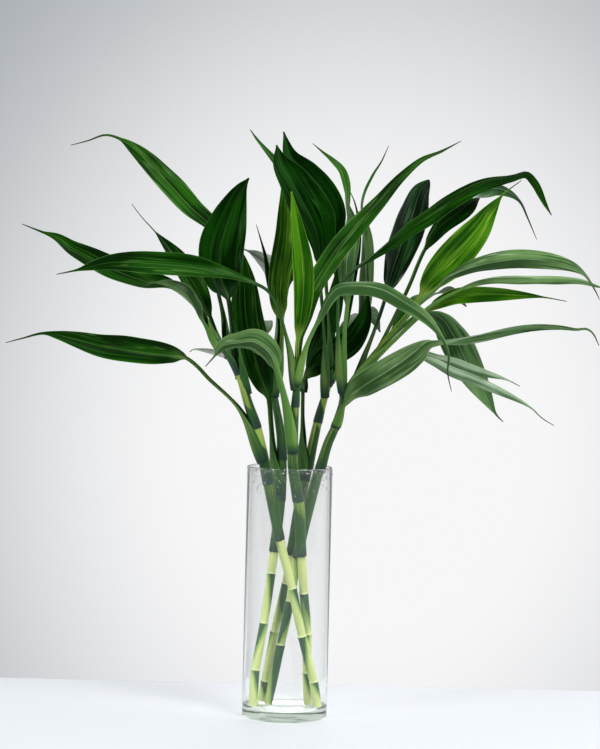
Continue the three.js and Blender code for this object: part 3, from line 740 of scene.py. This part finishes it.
@dataclass(frozen=True)
class StalkSkin:
    """Skin of a cane or a false stem: smooth, lightly waxed, with fine fibres along it.

    The stalk_mark attribute says how green, how deep and how ringed it is. A pale ground turns green, the
    green turns to the deep colour, and the ring's colour lies on top.
    """

    name: str
    pale: str
    green: str
    deep: str
    ring: str
    fibre_gap: float = 1.3
    fibre_length: float = 30.0
    uneven: float = 0.11
    roughness: float = 0.38

    def build(self) -> Material:
        """Make the material.

        Returns:
            The material, wired to its output.
        """
        nodes = Nodes(bpy.data.materials.new(self.name))
        place = nodes.add("Attribute", out="Vector", attribute_name="stalk_mark")
        real = nodes.add("Attribute", out="Vector", attribute_name="stalk_real")
        green, deep, ringed = nodes.add("SeparateXYZ", {0: place}).node.outputs
        scale = [1 / (size * MM) for size in (self.fibre_gap, self.fibre_gap, self.fibre_length)]
        grain = nodes.add("Mapping", {"Vector": real, "Scale": scale})
        fibre = nodes.add("TexNoise", {"Vector": grain, "Scale": 0.6, "Detail": 4.0})
        uneven = nodes.between(fibre, 0.3, 0.7, -self.uneven, self.uneven)
        color = self.pale
        for mark, tint in ((green, self.green), (deep, self.deep)):
            cover = nodes.add("Math", {0: mark, 1: uneven}, operation="ADD")
            color = nodes.blend(nodes.between(cover, 0.2, 0.9), color, tint)
        color = nodes.blend(ringed, color, self.ring)
        rough = nodes.between(fibre, 0.3, 0.7, self.roughness - 0.05, self.roughness + 0.1)
        return nodes.waxy(color, fibre, 0.2, rough, 0.4)


# A cut cane: yellow-green flesh that shows through, and a dark wedge under each ring.
CANE_SKIN = StalkSkin("cane_skin", "#b2c07a", "#6e943b", "#1f4b23", "#c9d29b")
# The false stem: green sheaths, bluish where each wraps the one below and yellow-green under that edge.
SHEATH_SKIN = StalkSkin("sheath_skin", "#9ab052", "#264f1b", "#19362b", "#5f8a48")


@dataclass(frozen=True)
class ClearMatter:
    """A clear matter, seen by what it bends and mirrors, with a tint that deepens with its thickness."""

    name: str
    index: float
    tint: str = "#ffffff"
    density: float = 0.0

    def build(self) -> Material:
        """Make the material.

        Returns:
            The material, wired to its output.
        """
        nodes = Nodes(bpy.data.materials.new(self.name))
        clear = {"Base Color": "#ffffff", "Roughness": 0.0, "IOR": self.index, "Transmission Weight": 1.0}
        if not self.density:
            return nodes.surface(clear)
        depth = nodes.add("VolumeAbsorption", {"Color": self.tint, "Density": self.density})
        return nodes.surface(clear, Volume=depth)


# Soda-lime glass, pressed and fire-polished: colourless walls, and grey-green where the base is thick.
VASE_GLASS = ClearMatter("soda_lime_glass", 1.45, "#b7cdb4", 10.0)
# Water bends light less than glass does, so a drop shows as a bright and dark speck.
WATER = ClearMatter("water", 1.33)


@dataclass(frozen=True)
class PaintedBoard:
    """Matt white paint on a board, as the table top under the vase."""

    name: str = "white_board"
    paint: str = "#c8cbcf"

    def build(self) -> Material:
        """Make the material.

        Returns:
            The material, wired to its output.
        """
        nodes = Nodes(bpy.data.materials.new(self.name))
        coord = nodes.add("TexCoord", out="Object")
        cloud = nodes.add("TexNoise", {"Vector": coord, "Scale": 3.0})
        rough = nodes.between(cloud, 0.3, 0.7, 0.55, 0.65)
        return nodes.surface({"Base Color": self.paint, "Roughness": rough})


# ---- The vase ----


@dataclass
class Vase:
    """The clear glass cylinder vase, with drops of water left under its rim. Sizes in millimetres."""

    radius: float = 51.0
    height: float = 300.0
    wall: float = 2.2
    floor: float = 12.0
    punt_radius: float = 41.0
    punt: float = 1.0
    foot_round: float = 3.0
    floor_round: float = 5.0
    mark_radius: float = 13.0
    mark_width: float = 1.6
    mark_depth: float = 0.5
    steps: int = 144
    beads: int = 150
    bead_size: Pair = (0.5, 1.1)
    bead_span: float = 4.5
    drops: int = 260
    drop_size: Pair = (0.35, 1.1)
    drop_span: float = 28.0
    specks: int = 45
    speck_size: Pair = (0.35, 0.6)
    speck_span: Pair = (26, 190)

    def outline(self) -> list[Pair]:
        """Give the wall's section.

        Returns:
            Its points from the centre of the foot, over the rim, to the centre of the floor.
        """
        rim = self.wall / 2
        foot, bowl = self.foot_round, self.floor_round
        points = [(0.0, self.punt), (self.punt_radius - 3 * self.punt, self.punt), (self.punt_radius, 0.0)]
        points += self._arc(self.radius - foot, foot, foot, -90, 0, 8)
        points += self._arc(self.radius - rim, self.height - rim, rim, 0, 180, 12)
        points += self._arc(self.radius - self.wall - bowl, self.floor + bowl, bowl, 0, -90, 8)
        for side in (1, 0.5, -0.5, -1):
            dip = self.mark_depth if abs(side) < 1 else 0.0
            points.append((self.mark_radius + side * self.mark_width, self.floor - dip))
        return points + [(0.0, self.floor)]

    @staticmethod
    def _arc(x: float, z: float, radius: float, start: float, end: float, count: int) -> list[Pair]:
        """Give points along an arc of the section."""
        angles = [math.radians(mix(start, end, i / count)) for i in range(count + 1)]
        return [(x + radius * math.cos(angle), z + radius * math.sin(angle)) for angle in angles]

    def build(self) -> None:
        """Spin the glass and scatter the drops."""
        bm = bmesh.new()
        verts = [bm.verts.new((x * MM, 0.0, z * MM)) for x, z in self.outline()]
        edges = [bm.edges.new(pair) for pair in zip(verts, verts[1:])]
        bmesh.ops.spin(bm, geom=verts + edges, cent=(0, 0, 0), axis=(0, 0, 1), angle=math.tau,
                       steps=self.steps, use_merge=True)
        bmesh.ops.remove_doubles(bm, verts=bm.verts[:], dist=0.01 * MM)
        bmesh.ops.recalc_face_normals(bm, faces=bm.faces[:])
        self._clear("glass_vase", bm, VASE_GLASS, "vase")
        self._drops()

    def _clear(self, name: str, bm: bmesh.types.BMesh, matter: ClearMatter, *nodes: str) -> None:
        """Make a smooth clear piece, which lets the light through to what stands behind it.

        Args:
            name: the piece's name.
            bm: its shape.
            matter: what it is made of.
            nodes: the solids that it stands for.
        """
        for face in bm.faces:
            face.smooth = True
        piece = finished(name, bm, [matter.build()])
        piece.visible_shadow = False
        fix(piece, "vase_glass", *nodes)

    def _drops(self) -> None:
        """Leave drops of water inside and outside, close under the rim, and a few specks lower."""
        draw = random.Random(31)
        bm = bmesh.new()
        for i in range(self.beads + self.drops + self.specks):
            if i < self.beads:
                size = draw.uniform(*self.bead_size)
                fall = 0.8 + self.bead_span * draw.random() ** 1.5
            elif i < self.beads + self.drops:
                size = draw.uniform(*self.drop_size) * draw.uniform(0.6, 1.0)
                fall = 4 + self.drop_span * draw.random() ** 1.6
            else:
                size = draw.uniform(*self.speck_size)
                fall = draw.uniform(*self.speck_span)
            turn = Matrix.Rotation(draw.uniform(0, math.tau), 4, "Z")
            radius = self.radius if draw.random() < 0.5 else self.radius - self.wall
            place = turn @ Matrix.Translation((radius * MM, 0.0, (self.height - fall) * MM))
            place = place @ Matrix.Diagonal((0.5, 1.0, draw.uniform(1.0, 1.5), 1.0))
            made = bmesh.ops.create_uvsphere(bm, u_segments=8, v_segments=5, radius=size * MM)["verts"]
            bmesh.ops.transform(bm, matrix=place, verts=made)
        self._clear("water_drops", bm, WATER)


# ---- The canes ----


@dataclass
class Cane:
    """A jointed cane: each internode rises from the wider ring that ends the one below. Millimetres."""

    form: StemForm
    skin: Material
    shade: float
    steps: int = 12
    neck: float = 4.9
    body: float = 5.3
    collar: float = 5.7
    around: int = 32
    floor: float = 12.0
    gap: float = 0.3
    wedge_side: float = 0.42
    wedge_start: float = 0.72
    sheltered: float = 0.5

    def joints(self) -> list[Vector]:
        """Give the real joints.

        Returns:
            The joints from the foot up, with the lower edge of the cut foot on the vase's floor.
        """
        joints = [seen(point) for point in self.form.cane]
        axis = (joints[1] - joints[0]).normalized()
        joints[0].z = (self.floor + self.gap + self.neck * axis.xy.length) * MM
        return joints

    def stations(self, length: float) -> list[Point]:
        """Give the stations of one internode, in millimetres.

        Args:
            length: the internode's length.

        Returns:
            The distance, the radius and the share of the ring's colour of each station.
        """
        neck, body, collar = self.neck, self.body, self.collar
        stations = [(0.0, neck, 0.6), (0.7, neck, 0.1), (2.5, neck + 0.02, 0.0)]
        for i in range(1, self.steps):
            at = mix(2.5, length - 5.0, i / self.steps)
            stations.append((at, mix(neck, body, ease(at / (0.35 * length))), 0.0))
        return stations + [
            (length - 5.0, body, 0.0), (length - 3.0, body + 0.1, 0.0), (length - 1.4, collar - 0.15, 0.0),
            (length - 0.8, collar, 0.3), (length - 0.35, collar, 0.8), (length - 0.05, collar - 0.35, 0.9),
        ]

    def build(self) -> None:
        """Wind the skin up the joints."""
        joints = self.joints()
        last = len(joints) - 1
        axes = [(joints[min(i + 1, last)] - joints[max(i - 1, 0)]).normalized() for i in range(last + 1)]
        draw = random.Random(len(self.form.name) * 7 + len(self.form.leaves))
        facing = draw.uniform(-0.9, 0.9)
        stalk = Stalk(self.around)
        for i, (start, end) in enumerate(zip(joints, joints[1:])):
            length = (end - start).length / MM
            side = facing + (math.pi if i % 2 else 0.0) + draw.uniform(-0.4, 0.4)
            lift = self.shade - (self.sheltered if i == last - 1 else 0.0)
            for at, radius, ring in self.stations(length):
                share = at / length
                axis = axes[i].lerp(axes[i + 1], share).normalized()
                mark = partial(self._mark, share + lift, side, ring)
                stalk.ring(start.lerp(end, share), axis, radius, at + 100.0 * i, mark)
        stalk.build(f"jointed_cane_{self.form.name}", self.skin, "cane", f"cane_{self.form.name}")

    def _mark(self, share: float, side: float, ring: float, turn: float) -> Vector:
        """Give how green, how deep and how ringed the skin is.

        Args:
            share: the share of the internode that lies below, shifted for a greener or paler cane.
            side: the side on which the green wedge reaches lowest.
            ring: how ringed the station is.
            turn: where it is round the cane.

        Returns:
            The mark.
        """
        wedge = share + self.wedge_side * math.cos(turn - side)
        green = ease((wedge - self.wedge_start + 0.45) / 0.6)
        return Vector((green, ease((wedge - self.wedge_start) / 0.16), ring))


# ---- The leafy shoots ----


@dataclass
class Leaf:
    """One leaf: a sheath round its stem, a channelled petiole, a folded blade and a dry tail. In mm."""

    form: LeafForm
    stem: Route
    name: str
    stem_radius: float
    sheath_radius: float
    draw: random.Random
    columns: int = 13
    sheath_length: float = 88.0
    sheath_wrap: float = 2.75
    petiole_wrap: float = 1.85
    petiole_skin: float = 1.15
    sheath_rib: float = 0.8
    sheath_edge: float = 0.4
    blade_rib: float = 1.5
    blade_edge: float = 0.4
    tip_half: float = 0.3
    foot: float = 0.75
    emergence: float = 36.0
    fold: float = 0.42
    crease: float = 0.05
    vee: float = 0.12
    ripple: float = 0.085
    petiole_step: float = 3.0
    blade_steps: int = 76
    tail_steps: int = 12

    def __post_init__(self) -> None:
        """Lay the route and draw the waves of the margin."""
        self.route = Route([seen(point) for point in self.form.route])
        self.start = self.route.at_point(self.form.blade[0])
        self.end = self.route.at_point(self.form.blade[1])
        self.waves = [(self.draw.uniform(1.6, 3.4), self.draw.uniform(0, math.tau)) for _ in range(2)]
        self.slice = self.draw.uniform(0.0, 40.0)
        self.twist = self._twist()

    def build(self, materials: list[Material], node: str) -> None:
        """Wind the leaf's skin along its route.

        Args:
            materials: the upper face's and the underside's.
            node: the solid that the leaf belongs to.
        """
        rings = [self._ring(distance) for distance in self._distances()]
        places, reals, shares = ([[point[i] for point in ring] for ring in rings] for i in range(3))
        last = self.columns - 1
        skin = Skin(
            self.name, places, {"leaf_real": reals, "leaf_share": shares},
            creases=(0, last, last + 1, 2 * last + 1), under=range(last + 1, 2 * last + 1),
        )
        fix(skin.build(materials), "leaf", node)

    def _distances(self) -> list[float]:
        """Give the stations along the leaf.

        Returns:
            Their distances in metres.
        """
        petiole = max(6, round(self.start / MM / self.petiole_step))
        stations = [self.start * i / petiole for i in range(petiole)]
        stations += [mix(self.start, self.end, i / self.blade_steps) for i in range(self.blade_steps)]
        tail = self.route.length - self.end
        count = self.tail_steps if tail > MM else 0
        return stations + [self.end + tail * i / max(count, 1) for i in range(count + 1)]

    def _across(self, tangent: Vector) -> Vector:
        """Give the direction across the unturned leaf.

        Args:
            tangent: the leaf's direction.

        Returns:
            The direction, at right angles to the tangent.
        """
        if self.form.back:
            return (tangent * tangent.x - Vector((1.0, 0.0, 0.0))).normalized()
        return Vector((-tangent.z, 0.0, tangent.x)).normalized()

    def _twist(self) -> float:
        """Find the turn that sets the sheath's open side towards its stem.

        Returns:
            The turn at the leaf's root, in radians.
        """
        reach = min(45 * MM, 0.6 * self.start)
        root = self.route.point(0.0)
        tangent = self.route.tangent(0.0)
        away = self.route.point(reach) - root
        near = min(self.stem.samples, key=lambda sample: (sample - root).length)
        axis = self.stem.tangent(self.stem.lengths[self.stem.samples.index(near)])
        away -= axis * away.dot(axis)
        if away.length < 0.5 * MM:
            return 0.0
        side = self._across(tangent)
        face = tangent.cross(side)
        # up = tangent x across turns with the roll; the sheath's up looks back at the stem
        wanted = -away.normalized()
        angle = math.atan2(-wanted.dot(side), wanted.dot(face)) - math.radians(self.form.roll[0])
        return (angle + math.pi) % math.tau - math.pi

    def _roll(self, distance: float) -> float:
        """Give the turn of the leaf's face.

        Args:
            distance: metres along the leaf.

        Returns:
            The turn in radians.
        """
        place = (distance - self.start) / (self.end - self.start)
        turns = [along(self.form.roll, place + shift) for shift in (-0.05, 0.0, 0.05)]
        loosened = 1.0 - ease(distance / max(self.start, MM))
        return math.radians(sum(turns) / len(turns)) + self.twist * loosened

    def _blade_half(self, share: float) -> float:
        """Give half the blade's width.

        Args:
            share: the share of the blade that lies behind.

        Returns:
            The half width in millimetres.
        """
        belly, taper = self.form.belly, self.form.taper
        rise = taper * belly / (1 - belly)
        return self.form.width / 2 * (share / belly) ** rise * ((1 - share) / (1 - belly)) ** taper

    def _section(self, distance: float, blade: float, tail: float) -> tuple[float, ...]:
        """Give the section's measures at a distance, in millimetres.

        Args:
            distance: metres along the leaf.
            blade: the share of the blade that lies behind.
            tail: the share of the tail that lies behind.

        Returns:
            How free of the stem it is, half its width, half its wrap in radians, and its thickness at the
            rib and at the edge.
        """
        loose = ease(distance / MM / min(self.sheath_length, 0.85 * self.start / MM))
        wound = mix(self.stem_radius + self.foot, self.sheath_radius, ease(distance / MM / self.emergence))
        wrap = mix(self.sheath_wrap, self.petiole_wrap, loose)
        half = mix(wound, self.form.stalk, loose) * wrap
        if distance < self.start:
            rib = mix(self.sheath_rib, self.petiole_skin, loose)
            return loose, half, wrap, rib, mix(self.sheath_edge, self.petiole_skin * 0.7, loose)
        narrow = mix(half, self.form.tail, blade**0.5)
        half = math.hypot(self._blade_half(blade), narrow)
        if tail > 0:
            half = mix(self.form.tail, self.tip_half, tail**0.8)
        fold = self.fold * mix(2.0, 1.0, ease(blade / 0.5))
        wrap = mix(mix(wrap, fold, ease(blade / 0.1)), 0.9, ease((blade - 0.9) / 0.1))
        rib = mix(self.petiole_skin * 1.3, self.blade_rib * mix(1.0, 0.45, blade), ease(blade / 0.2))
        edge = mix(self.petiole_skin * 0.7, self.blade_edge, ease(blade / 0.06))
        return loose, half, wrap, rib, edge

    def _ring(self, distance: float) -> list[tuple[Vector, Vector, Vector]]:
        """Give the ring at a distance.

        Args:
            distance: metres along the leaf.

        Returns:
            Each point's place, its leaf_real mark and its leaf_share mark.
        """
        center, tangent = self.route.point(distance), self.route.tangent(distance)
        blade = clamp((distance - self.start) / (self.end - self.start))
        tail = clamp((distance - self.end) / max(self.route.length - self.end, MM))
        side = self._across(tangent)
        turn = self._roll(distance)
        across = side * math.cos(turn) + tangent.cross(side) * math.sin(turn)
        up = tangent.cross(across)
        loose, half, wrap, rib, edge = self._section(distance, blade, tail)
        bow = half / wrap
        calm = math.sin(math.pi * blade) ** 0.7 if 0 < blade < 1 else 0.0
        station = distance / self.start if distance < self.start else 1.0 + blade + tail
        spread = math.sqrt(half * self.form.width / 2)
        result = []
        for i in range(2 * self.columns):
            top = i < self.columns
            way = (1 - 2 * (i % self.columns) / (self.columns - 1)) * (1 if top else -1)
            share = mix(way, math.sin(math.pi / 2 * way), loose)
            beat, phase = self.waves[share > 0]
            lift = self.ripple * share**2 * math.sin(math.tau * beat * blade + phase)
            lift += self.vee * abs(share) - self.crease * math.exp(-((share / 0.1) ** 2))
            hump = math.exp(-((share / 0.25) ** 2)) if distance >= self.start else 1 - share**2
            offset = edge * 0.5 if top else edge * 0.5 - mix(edge, rib, hump)
            angle = wrap * share
            normal = up * math.cos(angle) - across * math.sin(angle)
            point = center + across * (bow * math.sin(angle) * MM)
            point += up * ((bow * (loose - math.cos(angle)) + lift * half * calm) * MM)
            point += normal * (offset * MM)
            real = Vector((share * spread * MM, distance, self.slice))
            result.append((point, real, Vector((share, station, 0.0))))
        return result


@dataclass
class Shoot:
    """A leafy shoot: the rolled sheaths that make its false stem, and its leaves. Sizes in millimetres."""

    form: StemForm
    skin: Material
    skins: dict[LeafTone, list[Material]]
    seed: int
    base: float = 6.0
    tip: float = 3.6
    around: int = 28
    step: float = 2.0
    swell: float = 0.9
    lip: float = 0.6
    lip_fade: float = 30.0
    pale_fade: float = 26.0
    deep_fade: float = 34.0
    deepest: float = 0.8
    dip: float = 4.0
    wrap_gap: float = 0.9
    wrap_step: float = 0.26

    def build(self) -> None:
        """Build the stem and its leaves."""
        below, top = (seen(point) for point in self.form.cane[-2:])
        start = top - (top - below).normalized() * (self.dip * MM)
        route = Route([start] + [seen(point) for point in self.form.shoot])
        node = f"shoot_{self.form.name}"
        self._stem(route, node)
        draw = random.Random(self.seed)
        order = sorted(self.form.leaves, key=lambda leaf: leaf.route[0][1], reverse=True)
        for leaf in self.form.leaves:
            radius = self._radius(leaf.route[0][1])
            outer = radius + self.wrap_gap + self.wrap_step * order.index(leaf)
            name = f"leaf_{self.form.name}_{leaf.name}"
            Leaf(leaf, route, name, radius, outer, draw).build(self.skins[leaf.tone], node)

    def _radius(self, height: float) -> float:
        """Give the false stem's radius.

        Args:
            height: the height in millimetres.

        Returns:
            The radius in millimetres.
        """
        foot = self.form.cane[-1][1]
        share = clamp((height - foot) / (self.form.shoot[-1][1] - foot))
        return mix(self.base, self.tip, share**2) + self.swell * math.sin(math.pi * share)

    def _edges(self) -> list[Pair]:
        """Give the heights of the sheaths' lower edges, with the shoot's own foot as the first."""
        return [(self.form.cane[-1][1] - 2 * self.dip, 0.0), *self.form.nodes]

    def _mark(self, height: float, side: float, turn: float) -> Vector:
        """Give how green, how deep and how ringed the skin is.

        Args:
            height: the height in millimetres.
            side: the side on which the pale skin reaches furthest down.
            turn: where it is round the stem.

        Returns:
            The mark.
        """
        pale = deep = ring = 0.0
        for edge, strength in self._edges():
            rise = height - edge
            if rise < 0:
                wrap = ((turn - side) / math.tau + 0.37 * edge) % 1.0
                reach = self.pale_fade * (0.2 + 1.5 * wrap)
                shown = strength * (1 - ease((-rise - reach + 4) / 4)) * (1 - 0.45 * clamp(-rise / reach))
                pale = max(pale, shown)
                ring = max(ring, 0.4 * strength * (1 - ease(-rise / 1.4)))
            else:
                deep = max(deep, self.deepest * (1 - ease(rise / self.deep_fade)))
        return Vector((1 - pale, deep * (1 - pale), ring))

    def _stem(self, route: Route, node: str) -> None:
        """Wind the false stem, wider where each sheath starts.

        Args:
            route: the stem's axis.
            node: the solid that it belongs to.
        """
        count = round(route.length / MM / self.step)
        stations = [route.length * i / count for i in range(count + 1)]
        heights = [route.point(distance).z / MM for distance in stations]
        for edge, _ in self.form.nodes:
            i = min(range(len(heights)), key=lambda i: abs(heights[i] - edge))
            stations += [stations[i] - 0.3 * MM, stations[i] + 0.3 * MM]
        side = random.Random(self.seed + 50).uniform(0, math.tau)
        edges = [edge for edge, _ in self._edges()]
        stalk = Stalk(self.around)
        last = max(stations)
        for distance in sorted(set(stations)):
            center = route.point(distance)
            height = center.z / MM
            below = max([edge for edge in edges if edge <= height], default=self.form.cane[-1][1])
            radius = self._radius(height) + self.lip * (1 - ease((height - below) / self.lip_fade))
            if distance == last:
                radius *= 0.4
            mark = partial(self._mark, height, side)
            stalk.ring(center, route.tangent(distance), radius, distance / MM, mark)
        stalk.build(f"false_stem_{self.form.name}", self.skin, "leaf", node)


# ---- The room ----


@dataclass
class Studio:
    """A white table top in a pale, softly lit room, and the camera at the front. Metres and degrees."""

    table_width: float = 6.0
    table_drop: float = 0.0002
    table_back: float = 0.21
    table_front: float = 3.2
    eye: Point = (0.0, -2.5, 0.49)
    yaw: float = 0.215
    pitch: float = -1.828
    roll: float = 1.341
    lens: float = 100.56
    pool: Point = (0.035, 0.996, -0.065)

    def build(self) -> None:
        """Set the table, the light and the camera."""
        self._table()
        self._air()
        self._lamp("key", (1.0, -1.0, 1.7), 0.8, 33.0)
        self._lamp("side", (-1.6, -1.2, 1.6), 0.6, 21.0)
        self._lamp("rear", (0.3, 1.7, 2.1), 1.6, 18.0)
        self._camera()

    def _table(self) -> None:
        """Lay the table top."""
        bm = bmesh.new()
        bmesh.ops.create_grid(bm, x_segments=1, y_segments=1, size=0.5)
        middle = (self.table_back - self.table_front) / 2
        size = Matrix.Diagonal((self.table_width, self.table_back + self.table_front, 1.0, 1.0))
        place = Matrix.Translation((0.0, middle, -self.table_drop)) @ size
        bmesh.ops.transform(bm, matrix=place, verts=bm.verts[:])
        table = finished("table_top", bm, [PaintedBoard().build()])

    def _air(self) -> None:
        """Make the pale room: a pool of light on the wall behind, dimmer round it and at the front."""
        world = bpy.data.worlds.new("pale_room")
        nodes = Nodes(world)
        look = nodes.add("TexCoord", out="Generated")
        _, ahead, _ = nodes.add("SeparateXYZ", {0: look}).node.outputs
        away = nodes.add("VectorMath", {0: look, 1: self.pool}, operation="SUBTRACT")
        away = nodes.add("VectorMath", {0: away, 1: (1.18, 1.0, 1.0)}, operation="MULTIPLY")
        reach = nodes.add("VectorMath", {0: away}, out="Value", operation="LENGTH")
        color = nodes.blend(nodes.between(reach, 0.083, 0.333), "#f7f7f8", "#a6abb0")
        color = nodes.blend(nodes.between(reach, 0.3, 0.37), color, "#f5f6f7")
        color = nodes.blend(nodes.between(ahead, 0.1, -0.6), color, "#6e7276")
        nodes.add("OutputWorld", {"Surface": nodes.add("Background", {"Color": color, "Strength": 1.0})})
        bpy.context.scene.world = world

    def _lamp(self, name: str, place: Point, size: float, power: float) -> None:
        """Hang a soft square lamp that looks at the plant.

        Args:
            name: the lamp's name.
            place: where it hangs, in metres.
            size: the side of the square, in metres.
            power: its power in watts.
        """
        light = bpy.data.lights.new(f"soft_{name}", "AREA")
        light.size = size
        light.energy = power
        lamp = bpy.data.objects.new(light.name, light)
        lamp.location = place
        target = Vector((0.0, 0.0, 0.4))
        lamp.rotation_euler = (target - Vector(place)).to_track_quat("-Z", "Y").to_euler()
        bpy.context.scene.collection.objects.link(lamp)

    def _camera(self) -> None:
        """Stand the camera at the front."""
        yaw, pitch, roll = (math.radians(angle) for angle in (self.yaw, self.pitch, self.roll))
        ahead = Vector((math.sin(yaw) * math.cos(pitch), math.cos(yaw) * math.cos(pitch), math.sin(pitch)))
        level = Vector((math.cos(yaw), -math.sin(yaw), 0.0))
        upright = level.cross(ahead)
        right = level * math.cos(roll) + upright * math.sin(roll)
        above = upright * math.cos(roll) - level * math.sin(roll)
        turn = Matrix((right, above, -ahead)).transposed().to_4x4()
        data = bpy.data.cameras.new("front_camera")
        data.lens = self.lens
        data.sensor_width = 36.0
        camera = bpy.data.objects.new("front_camera", data)
        camera.matrix_world = Matrix.Translation(self.eye) @ turn
        bpy.context.scene.collection.objects.link(camera)
        bpy.context.scene.camera = camera


def main() -> None:
    """Build the room, the vase and the five stems."""
    logging.basicConfig(level=logging.INFO, format="%(message)s")
    bpy.context.scene.view_settings.view_transform = "Standard"
    Studio().build()
    Vase().build()
    flesh, sheath = CANE_SKIN.build(), SHEATH_SKIN.build()
    unders = {under.name: under.build() for under in (DEEP_SHADED_UNDER, PALE_UNDER, SILVER_UNDER, ASH_UNDER)}
    skins = {
        tone: [LeafSkin(f"leaf_wax_{tone.value}", *look).build(), unders[under.name]]
        for tone, (under, *look) in LEAF_LOOKS.items()
    }
    for seed, form in enumerate(STEMS):
        Cane(form, flesh, 0.45 if form.name == "right" else 0.0).build()
        Shoot(form, sheath, skins, seed).build()


if __name__ == "__main__":
    main()
